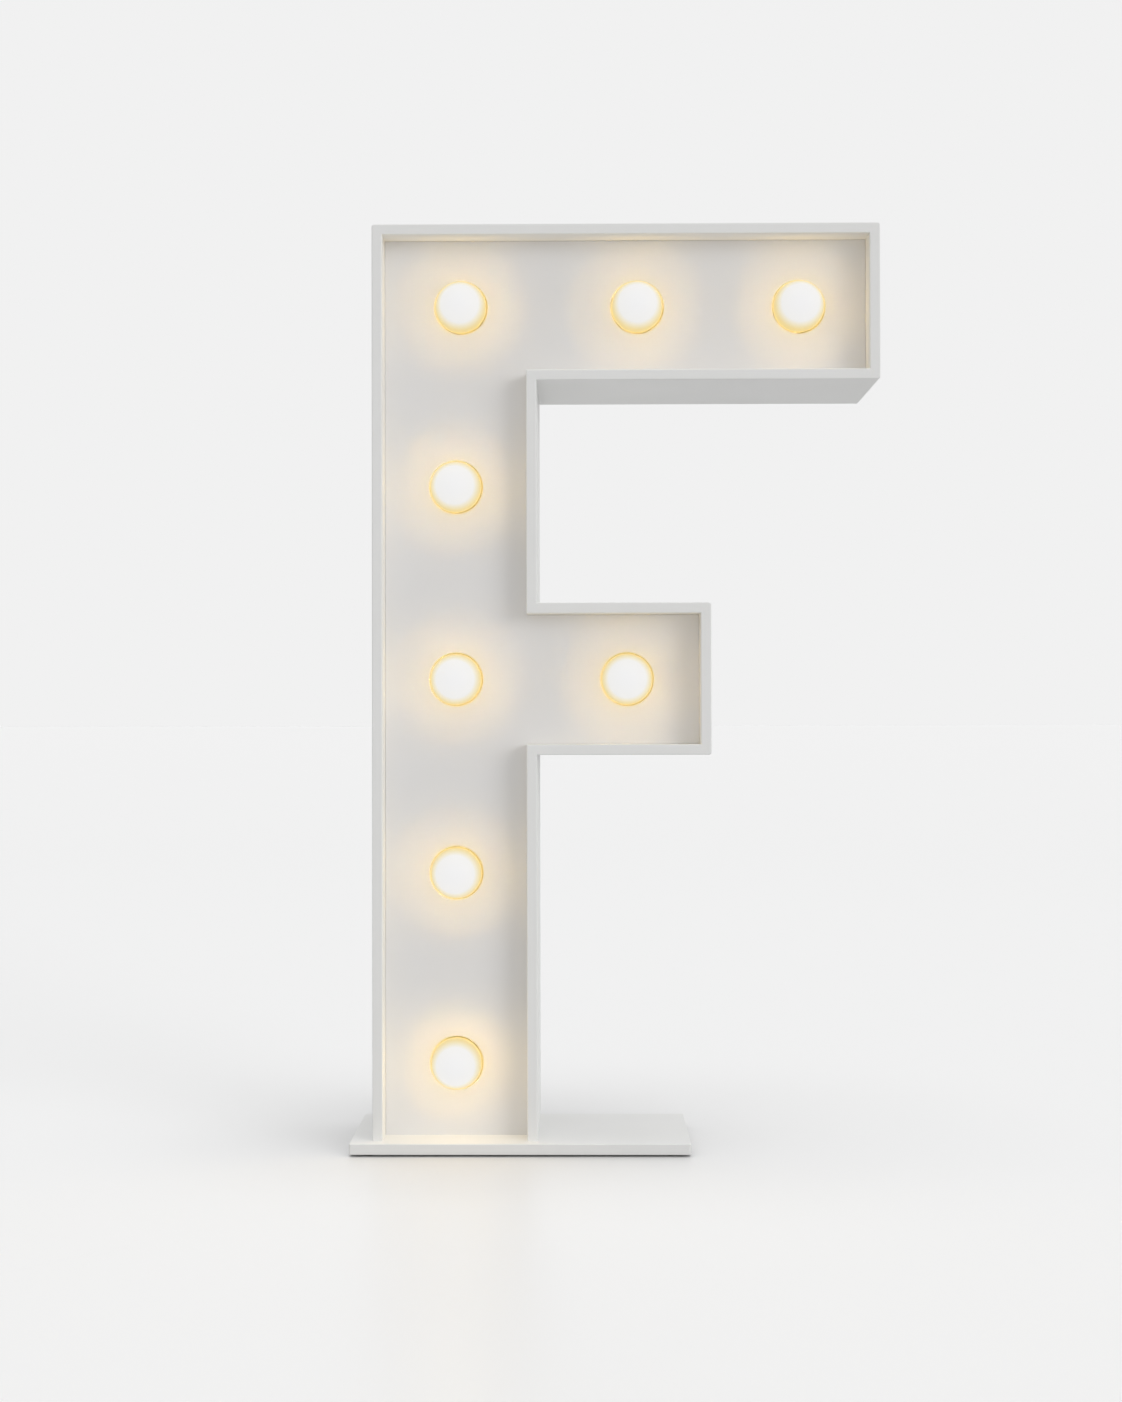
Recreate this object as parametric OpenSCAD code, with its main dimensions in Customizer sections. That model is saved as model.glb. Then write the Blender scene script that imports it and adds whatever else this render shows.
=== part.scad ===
// Light-up letter F: a painted box letter on a base plate, with screw-in globe lamps sunk in its face.
// Sizes are in millimetres. X runs to the viewer's right, Y from the front to the back, Z up.
// The origin is on the floor, under the middle of the letter's outer box.

/* [Letter] */
// Height of the letter above its base plate
letter_h = 789; // [770:1:840]
// Width across the top arm
letter_w = 438; // [420:1:500]
// Depth from the front edge to the back edge
letter_d = 133; // [128:1:170]
// Width of the upright stem
stem_w = 142; // [136:1:160]
// Height of the top arm
top_arm_h = 135; // [124:1:150]
// Height of the middle arm
mid_arm_h = 131; // [124:1:150]
// Underside of the middle arm above the base plate
mid_arm_z = 331; // [310:1:350]
// Reach of the middle arm from the letter's left side
mid_arm_w = 292; // [280:1:330]
// Thickness of the boards round the letter
board_t = 9; // [6:0.5:12]

/* [Face panel and back cover] */
// Thickness of the face panel
panel_t = 6; // [5:0.5:9]
// Depth of the face panel behind the front edge
panel_recess = 25; // [22:0.5:30]
// Gap between the face panel and the boards
panel_gap = 0.2; // [0.1:0.1:0.5]
// Thickness of the back cover
cover_t = 4; // [3:0.5:6]
// Depth of the back cover inside the back edge
cover_recess = 10; // [6:0.5:14]
// Gap between the back cover and the boards
cover_gap = 0.5; // [0.2:0.1:0.8]
// Width of one vent slot in the back cover
vent_w = 3.5; // [2.5:0.5:4]
// Length of one vent slot
vent_l = 42; // [25:1:50]
// Distance from one vent slot to the next
vent_pitch = 9; // [7:0.5:10]
// Number of slots in one group of vents
vent_count = 6; // [3:1:7]

/* [Base plate] */
// Width of the base plate
base_w = 292; // [270:1:340]
// Depth of the base plate
base_d = 128; // [124:1:140]
// Thickness of the base plate
base_t = 9.5; // [8:0.5:14]
// Overhang of the base plate on the letter's left
base_left = 19; // [10:1:30]
// Overhang of the base plate in front of the letter
base_front = 12; // [8:1:18]
// Diameter of a rubber foot
foot_d = 20; // [12:1:24]
// Height of a rubber foot
foot_t = 1.5; // [1:0.5:4]
// Centre of a rubber foot from the edges of the base plate
foot_inset = 16; // [13:1:24]

/* [Timber blocks] */
// Width of a spacer block
block_w = 18; // [16:1:20]
// Height of the block that the base plate is screwed to
foot_block_h = 26; // [24:1:27]

/* [Lamp places] */
// Corner lamp, to the right of the stem's middle line
corner_lamp_shift = 4.5; // [0:0.5:8]
// Middle lamp of the top arm, to the right of halfway
top_lamp_shift = 6.5; // [0:0.5:10]
// Last lamp of the top arm from the arm's end
top_lamp_inset = 67.5; // [65:0.5:80]
// Last lamp of the middle arm from the arm's end
mid_lamp_inset = 72; // [66:0.5:80]
// Upper stem lamp, above halfway
upper_lamp_shift = 5.5; // [0:0.5:10]
// Lower stem lamp, below halfway
lower_lamp_drop = 1.5; // [0:0.5:6]
// Lowest lamp above the base plate
low_lamp_z = 62.5; // [62:0.5:80]

/* [Globe lamps] */
// Diameter of a globe
globe_d = 45; // [42:0.5:47]
// Wall of a globe
globe_wall = 1.2; // [0.8:0.1:2]
// Centre of a globe in front of the panel's face
globe_proud = 2; // [0:0.5:4]
// Gap round a globe in the panel's hole
hole_gap = 1; // [0.6:0.1:1.5]
// Distance from a globe's centre back to its collar
globe_cut = 15; // [13:0.5:17]
// Length of the collar behind the globe
collar_len = 14.5; // [12:0.5:18]
// Lip of the collar outside the globe's mouth
collar_lip = 0.5; // [0.2:0.1:1]
// Diameter of the collar where it meets the screw cap
neck_d = 24; // [20:0.5:26]
// Diameter of the screw cap over its thread
cap_d = 13.9; // [13.7:0.1:14]
// Depth of the cap's thread
cap_thread_h = 0.8; // [0.5:0.1:1]
// Wall of the cap inside its thread
cap_wall = 0.6; // [0.4:0.1:1]
// Pitch of the cap's thread
cap_pitch = 2.82; // [2.6:0.02:3]
// Number of turns on the cap
cap_turns = 6; // [5:1:7]
// Diameter of the plain skirt above the thread
skirt_d = 17; // [16:0.5:18]
// Length of the plain skirt
skirt_len = 4; // [3:0.5:5]
// Length of the insulator behind the thread
insulator_len = 2.6; // [2:0.2:4]
// Diameter of the end contact
contact_d = 4.8; // [4:0.2:6]
// Length of the end contact
contact_len = 2.5; // [1.5:0.5:4]

/* [Lamp cups and holders] */
// Wall of a lamp cup
cup_wall = 1.5; // [1:0.5:2]
// Step from the panel's hole out to the inside of a cup
cup_step = 1; // [0.5:0.5:1.5]
// Width of a cup's flange
cup_flange_w = 6; // [5.5:0.5:6.5]
// Thickness of a cup's flange
cup_flange_t = 2; // [1:0.5:3]
// Gap between a lamp's neck and the holder's sleeve
neck_gap = 1.2; // [0.9:0.1:2]
// Wall of the holder's sleeve
sleeve_wall = 1.5; // [1:0.5:2.5]
// Reach of the sleeve past the lamp's neck
sleeve_reach = 1.5; // [1:0.5:2]
// Gap between the sleeve's thread and the ring nut
nut_gap = 0.1; // [0.05:0.05:0.2]
// Width of the ring nut
nut_w = 3.5; // [3:0.5:4.5]
// Thickness of the ring nut
nut_t = 3; // [2:0.5:4]
// Thickness of the holder's shoulder behind the cup
shoulder_t = 3; // [2:0.5:5]
// Gap between the lamp's neck and its seat in the holder
seat_gap = 0.7; // [0.4:0.1:1]
// Gap round the cap and its skirt
cap_gap = 0.4; // [0.3:0.1:0.6]
// Wall of the threaded contact shell
shell_wall = 0.6; // [0.4:0.1:1]
// Gap between the contact shell and the holder
shell_gap = 0.05; // [0.05:0.05:0.1]
// Step from the skirt's end back to the shell
shell_step = 1.5; // [1:0.5:3]
// Gap between a lamp's end contact and the spring contact
tip_gap = 0.3; // [0.2:0.1:0.5]
// Diameter of the spring contact's head
spring_d = 6; // [5:0.5:8]
// Diameter of the spring contact's stem
spring_stem_d = 3; // [2:0.5:4]
// Length of the spring contact
spring_len = 4.2; // [3:0.2:6]
// Thickness of the spring contact's head
spring_head_t = 0.8; // [0.6:0.2:1.6]
// Thickness of the holder's back wall
holder_back_t = 6; // [4:0.5:8]

/* [Wiring] */
// Diameter of the cable
cable_d = 4.5; // [3.5:0.5:5]
// Radius of a bend in the cable
cable_bend = 7.5; // [6:0.5:8]
// Centre of a cable entry from the middle of a holder
entry_r = 6; // [5:0.5:7]
// Distance of the cable behind the holders
cable_back = 12; // [10:0.5:14]
// Distance of the feed cable in front of the holders' backs
feed_front = 8; // [6:0.5:10]

/* [Rocker switch] */
// Middle of the switch, to the right of the stem's middle line
switch_x = 31; // [29:0.5:33]
// Height of the switch and the inlet above the base plate
switch_z = 146; // [135:1:155]
// Width of the switch body
switch_w = 21; // [19:0.5:23]
// Height of the switch body
switch_h = 28; // [27:0.5:30]
// Depth of the switch body inside the cover's outer face
switch_d = 18; // [17:0.5:20]
// Rim of the bezel outside the body
bezel_rim = 2; // [1.5:0.5:3]
// Thickness of the bezel
bezel_t = 2; // [1.5:0.5:3]
// Width of the rocker
rocker_w = 15; // [13:0.5:15]
// Radius of the rocker's ends about its pivot
rocker_r = 11.2; // [10.5:0.1:11.5]
// Height of the rocker's middle above its pivot
rocker_top = 2.2; // [1.8:0.1:3]
// Depth of the rocker below its pivot
rocker_low = 3; // [2.5:0.1:3.5]
// Tilt of the rocker to either side
rocker_tilt = 10; // [8:0.5:12]
// Gap round the rocker
rocker_gap = 0.5; // [0.3:0.1:0.6]
// Depth of the pivot inside the bezel's face
pivot_in = 4; // [3.5:0.1:5]
// Diameter of the rocker's pivot pins
pivot_d = 3; // [2:0.5:4]
// Length of a pivot pin
pivot_len = 1.8; // [1:0.2:2]
// Running clearance round a pivot pin
pivot_gap = 0.05; // [0.02:0.01:0.1]
// Distance between the switch's terminals
tag_pitch = 10; // [8:1:12]

/* [Mains inlet] */
// Middle of the inlet, to the left of the stem's middle line
inlet_x = 31; // [30:0.5:34]
// Width of the inlet body
inlet_w = 28; // [27:0.5:30]
// Height of the inlet body
inlet_h = 20; // [19.5:0.5:22]
// Depth of the inlet body inside the cover's outer face
inlet_d = 22; // [20:0.5:24]
// Width of the inlet's socket
socket_w = 24.4; // [24:0.1:25]
// Height of the inlet's socket
socket_h = 16.4; // [16:0.1:17]
// Depth of the inlet's socket
socket_d = 17; // [16:0.5:18]
// Cut of the socket's two upper corners
socket_cut = 4.5; // [4:0.1:5]
// Thickness of a blade
blade_t = 2; // [1.8:0.1:2.2]
// Height of a blade
blade_h = 4; // [3.8:0.1:4.2]
// Distance between the two outer blades
blade_pitch = 14; // [13.5:0.1:14.5]
// Middle blade above the outer blades
blade_rise = 4; // [3.5:0.1:4.5]
// Ends of the blades below the socket's mouth
blade_sink = 3; // [2:0.5:4]
// Length of a terminal behind the switch or inlet
tag_len = 8; // [6:0.5:8]
// Gap round the switch and inlet bodies in the cover
cutout_gap = 0.3; // [0.2:0.1:0.5]

/* [Fasteners] */
// Diameter of a cover screw
cover_screw_d = 3.5; // [3:0.5:4]
// Length of a cover screw under its head
cover_screw_l = 20; // [16:1:30]
// Diameter of a cover screw's head
cover_head_d = 7; // [6:0.5:8]
// Height of a cover screw's head
cover_head_t = 2.2; // [1.5:0.1:3]
// Diameter of a cup screw
cup_screw_d = 2.5; // [2:0.1:3]
// Diameter of a cup screw's head
cup_head_d = 5; // [4.5:0.1:5.4]
// Height of a cup screw's head
cup_head_t = 1.6; // [1:0.1:2]
// Wood left in front of a cup screw's tip
cup_screw_skin = 1.5; // [1:0.1:2.5]
// Angle of a pair of cup screws round the cup
cup_screw_angle = 45; // [0:5:90]
// Diameter of a base screw
base_screw_d = 4.2; // [3.5:0.1:5]
// Diameter of a base screw's countersunk head
base_head_d = 8.4; // [7:0.1:9]
// Reach of a base screw into the foot block
base_screw_in = 20; // [12:1:22]
// Base screws to either side of the stem's middle line
base_screw_x = 41; // [30:1:45]
// Base screws in front of and behind the foot block's middle
base_screw_y = 24; // [15:1:30]
// Depth of the cross recess in a screw head
drive_t = 1; // [0.5:0.1:1.2]
// Depth of a pilot hole past its screw's tip
pilot_deep = 1; // [0.5:0.1:2]
// Gap round a screw in its pilot hole
pilot_gap = 0.05; // [0.05:0.05:0.2]
// Gap round a screw in a clearance hole
clear_gap = 0.3; // [0.2:0.1:0.4]

/* [Hidden] */
$fn = 96;

// How far a cut reaches past the face that it opens
past = 1;

// Where the letter's own corner, its left front foot, lies in the frame
letter_x = (base_left - letter_w) / 2;
letter_y = (base_front - letter_d) / 2;
letter_z = foot_t + base_t;

// Heights and depths in the letter's own coordinates
mid_arm_top = mid_arm_z + mid_arm_h;
top_arm_z = letter_h - top_arm_h;
panel_y = panel_recess;
panel_back = panel_y + panel_t;
cover_y = letter_d - cover_recess - cover_t;
cover_back = cover_y + cover_t;
block_len = cover_y - panel_back;
stem_mid = stem_w / 2;

// Lamp places as x and z
top_row = letter_h - top_arm_h / 2;
mid_row = mid_arm_z + mid_arm_h / 2;
corner_x = stem_mid + corner_lamp_shift;
top_end_x = letter_w - top_lamp_inset;
lamps = [
    [corner_x, top_row],
    [(corner_x + top_end_x) / 2 + top_lamp_shift, top_row],
    [top_end_x, top_row],
    [stem_mid, (mid_row + top_row) / 2 + upper_lamp_shift],
    [stem_mid, mid_row],
    [mid_arm_w - mid_lamp_inset, mid_row],
    [stem_mid, (low_lamp_z + mid_row) / 2 - lower_lamp_drop],
    [stem_mid, low_lamp_z]
];
lamp_count = len(lamps);

// Stations along a lamp's axis, counted back from the panel's face
u_globe = -globe_proud;
u_collar = u_globe + globe_cut;
u_cap = u_collar + collar_len;
u_thread = u_cap + skirt_len;
u_insulator = u_thread + cap_pitch * cap_turns;
u_contact = u_insulator + insulator_len;
u_tip = u_contact + contact_len;
u_sleeve = u_cap - sleeve_reach;
u_cup_floor = u_sleeve + nut_t;
u_shoulder = u_cup_floor + cup_wall;
u_barrel = u_shoulder + shoulder_t;
u_seat = u_cap + seat_gap;
u_shell = u_thread + shell_step;
u_shell_end = u_insulator + shell_step;
u_spring = u_tip + tip_gap;
u_bore_end = u_spring + spring_len;
u_rear = u_bore_end + holder_back_t;

// Radii of a lamp, its cup and its holder
globe_r = globe_d / 2;
hole_r = globe_r + hole_gap;
mouth_r = sqrt(globe_r * globe_r - globe_cut * globe_cut);
neck_r = neck_d / 2;
cap_r = cap_d / 2;
root_r = cap_r - cap_thread_h;
cup_r = hole_r + cup_step;
cup_out_r = cup_r + cup_wall;
flange_r = cup_out_r + cup_flange_w;
sleeve_r = neck_r + neck_gap;
sleeve_out_r = sleeve_r + sleeve_wall;
nut_r = sleeve_out_r + nut_gap;
nut_out_r = nut_r + nut_w;
skirt_bore_r = skirt_d / 2 + cap_gap;
shell_r = cap_r + cap_gap;
shell_out_r = shell_r + shell_wall;
barrel_bore_r = shell_out_r + shell_gap;
cup_screw_r = (cup_out_r + flange_r) / 2;

// Cable levels and links, each link from one lamp to the next by its number
holder_back_y = panel_y + u_rear;
cable_y = holder_back_y + cable_back;
feed_y = holder_back_y - feed_front;
links = [[8, 7], [7, 5], [5, 4], [4, 1], [1, 2], [2, 3], [5, 6]];

// Switch and inlet places
switch_mid = stem_mid + switch_x;
inlet_mid = stem_mid - inlet_x;
pivot_y = cover_back + bezel_t - pivot_in;
rocker_well_r = rocker_r + rocker_gap;
switch_back = cover_back - switch_d;
inlet_back = cover_back - inlet_d;
socket_floor = cover_back + bezel_t - socket_d;
blade_end = cover_back + bezel_t - blade_sink;
blades = [[-blade_pitch / 2, -blade_rise / 2], [0, blade_rise / 2], [blade_pitch / 2, -blade_rise / 2]];
tags = [-tag_pitch / 2, tag_pitch / 2];
tag_z = switch_z + blades[0][1];

// Middles of the spacer blocks as x and z, each against the boards it is glued to
block_in = board_t + block_w / 2;
left_in = block_in;
stem_in = stem_w - block_in;
top_in = letter_h - block_in;
top_low_in = top_arm_z + block_in;
top_span = (lamps[1][0] + lamps[2][0]) / 2;
lower_gap_z = (lamps[6][1] + lamps[4][1]) / 2;
upper_gap_z = (lamps[4][1] + lamps[3][1]) / 2;
blocks = [
    [left_in, top_in],
    [top_span, top_in],
    [letter_w - block_in, top_in],
    [letter_w - block_in, top_low_in],
    [top_span, top_low_in],
    [mid_arm_w - block_in, mid_arm_top - block_in],
    [mid_arm_w - block_in, mid_arm_z + block_in],
    [left_in, lower_gap_z],
    [left_in, upper_gap_z],
    [stem_in, mid_arm_z - block_w],
    [stem_in, lamps[3][1]]
];
foot_screws = [
    [left_in, foot_block_h / 2],
    [stem_in, foot_block_h / 2]
];
cover_screw_places = concat(blocks, foot_screws);
foot_block_mid = panel_back + block_len / 2;
vent_places = [lower_gap_z, upper_gap_z];

// Colours as the letter shows them
paint = [0.94, 0.94, 0.93];
timber = [0.80, 0.66, 0.46];
lit_globe = [1.00, 0.93, 0.74];
lamp_white = [0.96, 0.95, 0.92];
nickel = [0.75, 0.74, 0.71];
brass = [0.78, 0.62, 0.32];
black = [0.10, 0.10, 0.11];
zinc = [0.70, 0.71, 0.72];
rubber = [0.12, 0.12, 0.12];

// Corners of the letter's outline, drawn in by an inset. The foot stays open on the base plate.
function outline(inset) = [
    [inset, 0],
    [stem_w - inset, 0],
    [stem_w - inset, mid_arm_z + inset],
    [mid_arm_w - inset, mid_arm_z + inset],
    [mid_arm_w - inset, mid_arm_top - inset],
    [stem_w - inset, mid_arm_top - inset],
    [stem_w - inset, top_arm_z + inset],
    [letter_w - inset, top_arm_z + inset],
    [letter_w - inset, letter_h - inset],
    [inset, letter_h - inset]
];

function unit(v) = v / norm(v);

// Moves from the letter's own coordinates to the frame
module in_letter() {
    translate([letter_x, letter_y, letter_z]) children();
}

// Extrudes a flat shape, drawn in X and Z, from y towards the back
module slab(y, depth) {
    translate([0, y + depth, 0]) rotate([90, 0, 0]) linear_extrude(depth) children();
}

// Puts a piece that is turned about Z on an axis that runs from front to back
module on_axis(x, y, z) {
    translate([x, y, z]) rotate([-90, 0, 0]) children();
}

// Puts a piece on every lamp's axis, with the panel's face at its zero
module at_lamps() {
    in_letter() for (lamp = lamps) on_axis(lamp[0], panel_y, lamp[1]) children();
}

module at_lamp(k) {
    in_letter() on_axis(lamps[k - 1][0], panel_y, lamps[k - 1][1]) children();
}

// A bar across a box, centred in X and Z
module bar(x, y, z, w, depth, h) {
    translate([x - w / 2, y, z - h / 2]) cube([w, depth, h]);
}

// A turned ring from one station to another
module ring(from, to, inner, outer) {
    translate([0, 0, from]) difference() {
        cylinder(r = outer, h = to - from);
        translate([0, 0, -past]) cylinder(r = inner, h = to - from + 2 * past);
    }
}

// Cross recess of a screw head, cut down from zero
module cross_recess(size) {
    for (turn = [0, 90])
        rotate([0, 0, turn]) translate([-size / 2, -size / 10, -drive_t]) cube([size, size / 5, drive_t + past]);
}

// Boards round the letter: each lies on one side of the outline, mitred at both ends
module board(side) {
    outer = outline(0);
    inner = outline(board_t);
    next = (side + 1) % len(outer);
    color(paint) in_letter() slab(0, letter_d)
        polygon([outer[side], outer[next], inner[next], inner[side]]);
}

module lower_stem_board() { board(1); }
module mid_arm_lower_board() { board(2); }
module mid_arm_end_board() { board(3); }
module mid_arm_upper_board() { board(4); }
module upper_stem_board() { board(5); }
module top_arm_lower_board() { board(6); }
module top_arm_end_board() { board(7); }
module top_board() { board(8); }
module left_board() { board(9); }

// Places of the two screws of one lamp cup, on the cup's own axis
module at_cup_screws() {
    for (turn = [0, 180])
        rotate([0, 0, cup_screw_angle + turn]) translate([cup_screw_r, 0, 0]) children();
}

module face_panel() {
    color(paint) difference() {
        in_letter() slab(panel_y, panel_t) polygon(outline(board_t + panel_gap));
        at_lamps() translate([0, 0, -past]) cylinder(r = hole_r, h = panel_t + 2 * past);
        at_lamps() at_cup_screws()
            translate([0, 0, cup_screw_skin]) cylinder(d = cup_screw_d + 2 * pilot_gap, h = panel_t);
    }
}

// An opening right through the back cover
module cover_cut(x, z, w, h) {
    bar(x, cover_y - past, z, w, cover_t + 2 * past, h);
}

module vent_group(z) {
    for (i = [0:vent_count - 1])
        cover_cut(stem_mid + (i - (vent_count - 1) / 2) * vent_pitch, z, vent_w, vent_l);
}

module back_cover() {
    color(paint) in_letter() difference() {
        slab(cover_y, cover_t) polygon(outline(board_t + cover_gap));
        for (place = cover_screw_places)
            on_axis(place[0], cover_y - past, place[1])
                cylinder(d = cover_screw_d + 2 * clear_gap, h = cover_t + 2 * past);
        for (z = vent_places) vent_group(z);
        cover_cut(switch_mid, switch_z, switch_w + 2 * cutout_gap, switch_h + 2 * cutout_gap);
        cover_cut(inlet_mid, switch_z, inlet_w + 2 * cutout_gap, inlet_h + 2 * cutout_gap);
    }
}

// Pilot hole of a cover screw, from the back cover's inner face forwards
module cover_pilot(place) {
    depth = cover_screw_l - cover_t + pilot_deep;
    on_axis(place[0], cover_y - depth, place[1]) cylinder(d = cover_screw_d + 2 * pilot_gap, h = depth + past);
}

module spacer_blocks() {
    color(timber) in_letter() for (place = blocks) difference() {
        bar(place[0], panel_back, place[1], block_w, block_len, block_w);
        cover_pilot(place);
    }
}

// Places of the base screws, at the base plate's top
module at_base_screws() {
    for (sx = [-1, 1], sy = [-1, 1])
        translate([stem_mid + sx * base_screw_x, foot_block_mid + sy * base_screw_y, 0]) children();
}

module foot_block() {
    color(timber) in_letter() difference() {
        translate([board_t, panel_back, 0]) cube([stem_w - 2 * board_t, block_len, foot_block_h]);
        for (place = foot_screws) cover_pilot(place);
        at_base_screws() translate([0, 0, -past])
            cylinder(d = base_screw_d + 2 * pilot_gap, h = past + base_screw_in + pilot_deep);
    }
}

// A countersunk screw that points up, with its head's face at the base plate's underside
module base_screw(gap) {
    shank_r = base_screw_d / 2 + gap;
    head_r = base_head_d / 2;
    translate([0, 0, -base_t]) {
        cylinder(r = shank_r, h = base_t + base_screw_in);
        cylinder(r1 = head_r, r2 = shank_r, h = head_r - shank_r);
    }
}

module base_plate() {
    color(paint) in_letter() difference() {
        translate([-base_left, -base_front, -base_t]) cube([base_w, base_d, base_t]);
        at_base_screws() base_screw(pilot_gap);
    }
}

module base_screws() {
    color(zinc) in_letter() at_base_screws() difference() {
        base_screw(0);
        translate([0, 0, -base_t]) mirror([0, 0, 1]) cross_recess(base_head_d / 2);
    }
}

module rubber_feet() {
    color(rubber) in_letter()
        for (x = [foot_inset - base_left, base_w - base_left - foot_inset],
             y = [foot_inset - base_front, base_d - base_front - foot_inset])
            translate([x, y, -letter_z]) cylinder(d = foot_d, h = foot_t);
}

module cover_screws() {
    color(zinc) in_letter() for (place = cover_screw_places)
        on_axis(place[0], cover_back, place[1]) difference() {
            union() {
                translate([0, 0, -cover_screw_l]) cylinder(d = cover_screw_d, h = cover_screw_l);
                cylinder(d = cover_head_d, h = cover_head_t);
            }
            translate([0, 0, cover_head_t]) cross_recess(cover_head_d / 2);
        }
}

// Lamp cups: a flanged cup behind each hole, with the lampholder through its floor
module lamp_cups() {
    color(lamp_white) at_lamps() difference() {
        union() {
            translate([0, 0, panel_t]) cylinder(r = flange_r, h = cup_flange_t);
            translate([0, 0, panel_t]) cylinder(r = cup_out_r, h = u_shoulder - panel_t);
        }
        translate([0, 0, panel_t - past]) cylinder(r = cup_r, h = u_cup_floor - panel_t + past);
        cylinder(r = sleeve_out_r + clear_gap, h = u_shoulder + past);
        at_cup_screws() cylinder(d = cup_screw_d + 2 * clear_gap, h = u_cup_floor);
    }
}

module cup_screws() {
    head_u = panel_t + cup_flange_t;
    tip_u = cup_screw_skin + pilot_gap;
    color(zinc) at_lamps() at_cup_screws() difference() {
        union() {
            translate([0, 0, tip_u]) cylinder(d = cup_screw_d, h = head_u - tip_u);
            translate([0, 0, head_u]) cylinder(d = cup_head_d, h = cup_head_t);
        }
        translate([0, 0, head_u + cup_head_t]) cross_recess(cup_head_d / 2);
    }
}

module lampholders() {
    color(lamp_white) at_lamps() difference() {
        union() {
            translate([0, 0, u_sleeve]) cylinder(r = sleeve_out_r, h = u_rear - u_sleeve);
            translate([0, 0, u_shoulder]) cylinder(r = nut_out_r, h = shoulder_t);
        }
        translate([0, 0, u_sleeve - past]) cylinder(r = sleeve_r, h = u_seat - u_sleeve + past);
        translate([0, 0, u_sleeve]) cylinder(r = skirt_bore_r, h = u_shell - u_sleeve);
        translate([0, 0, u_sleeve]) cylinder(r = barrel_bore_r, h = u_bore_end - u_sleeve);
    }
}

module lampholder_nuts() {
    color(lamp_white) at_lamps() ring(u_sleeve, u_cup_floor, nut_r, nut_out_r);
}

module contact_shells() {
    color(brass) at_lamps() ring(u_shell, u_shell_end, shell_r, shell_out_r);
}

module spring_contacts() {
    color(brass) at_lamps() {
        translate([0, 0, u_spring]) cylinder(d = spring_d, h = spring_head_t);
        translate([0, 0, u_spring]) cylinder(d = spring_stem_d, h = spring_len);
    }
}

// A frame with its third axis along d
function along(d) =
    let (side = abs(d[2]) < 0.9 ? [0, 0, 1] : [1, 0, 0], x = unit(cross(side, d)))
    [x, cross(d, x), d];

// Puts a piece in a frame of three axes at a point
module placed(axes, at) {
    multmatrix([
        [axes[0][0], axes[1][0], axes[2][0], at[0]],
        [axes[0][1], axes[1][1], axes[2][1], at[1]],
        [axes[0][2], axes[1][2], axes[2][2], at[2]],
        [0, 0, 0, 1]
    ]) children();
}

function heading(points, i) = unit(points[i + 1] - points[i]);
function turn_at(points, i) = acos(heading(points, i - 1) * heading(points, i));
function setback(points, i) =
    i == 0 || i == len(points) - 1 ? 0 : cable_bend * tan(turn_at(points, i) / 2);

// A round cable along a list of points, bent at each corner
module cable(points) {
    last = len(points) - 1;
    for (i = [0:last - 1]) {
        d = heading(points, i);
        length = norm(points[i + 1] - points[i]) - setback(points, i) - setback(points, i + 1);
        placed(along(d), points[i] + d * setback(points, i)) cylinder(d = cable_d, h = length);
    }
    for (i = [1:last - 1]) {
        d = heading(points, i - 1);
        turn = turn_at(points, i);
        inward = unit(heading(points, i) - d * cos(turn));
        centre = points[i] - d * setback(points, i) + inward * cable_bend;
        placed([-inward, d, cross(d, inward)], centre)
            rotate_extrude(angle = turn) translate([cable_bend, 0]) circle(d = cable_d);
    }
}

// Cable from one lampholder's back to the next one's, straight up or straight to the right
module lamp_link(from, to) {
    a = lamps[from - 1];
    gap = lamps[to - 1] - a;
    aim = gap[1] > gap[0] ? [0, 0, 1] : [1, 0, 0];
    span = max(gap);
    rise = [0, cable_back, 0];
    start = [a[0], holder_back_y, a[1]] + aim * entry_r;
    end = start + aim * (span - 2 * entry_r);
    cable([start, start + rise, end + rise, end]);
}

// Cable from the switch's right terminal to the lowest lampholder
module feed_cable() {
    tag_x = switch_mid + tags[1];
    entry_x = lamps[lamp_count - 1][0] + entry_r;
    cable([
        [tag_x, switch_back - tag_len, tag_z],
        [tag_x, feed_y, tag_z],
        [tag_x, feed_y, low_lamp_z],
        [tag_x, cable_y, low_lamp_z],
        [entry_x, cable_y, low_lamp_z],
        [entry_x, holder_back_y, low_lamp_z]
    ]);
}

// Cable from the inlet to the switch's left terminal
module supply_cable() {
    blade_x = inlet_mid + blades[2][0];
    tag_x = switch_mid + tags[0];
    cable([
        [blade_x, inlet_back - tag_len, tag_z],
        [blade_x, feed_y, tag_z],
        [tag_x, feed_y, tag_z],
        [tag_x, switch_back - tag_len, tag_z]
    ]);
}

module lamp_cable() {
    color(lamp_white) in_letter() {
        for (link = links) lamp_link(link[0], link[1]);
        feed_cable();
        supply_cable();
    }
}

// Switch housing with its bezel, the rocker's well and the bores of the rocker's pivot pins
module switch_housing() {
    well_low = 2 * rocker_low;
    color(black) in_letter() difference() {
        union() {
            bar(switch_mid, switch_back, switch_z, switch_w, switch_d, switch_h);
            bar(switch_mid, cover_back, switch_z, switch_w + 2 * bezel_rim, bezel_t, switch_h + 2 * bezel_rim);
        }
        bar(switch_mid, pivot_y - well_low, switch_z,
            rocker_w + 2 * rocker_gap, well_low + pivot_in + past, 2 * rocker_well_r);
        translate([switch_mid, pivot_y, switch_z]) rotate([0, 90, 0])
            cylinder(d = pivot_d + 2 * pivot_gap, h = rocker_w + 2 * (pivot_len + rocker_gap), center = true);
    }
}

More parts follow.
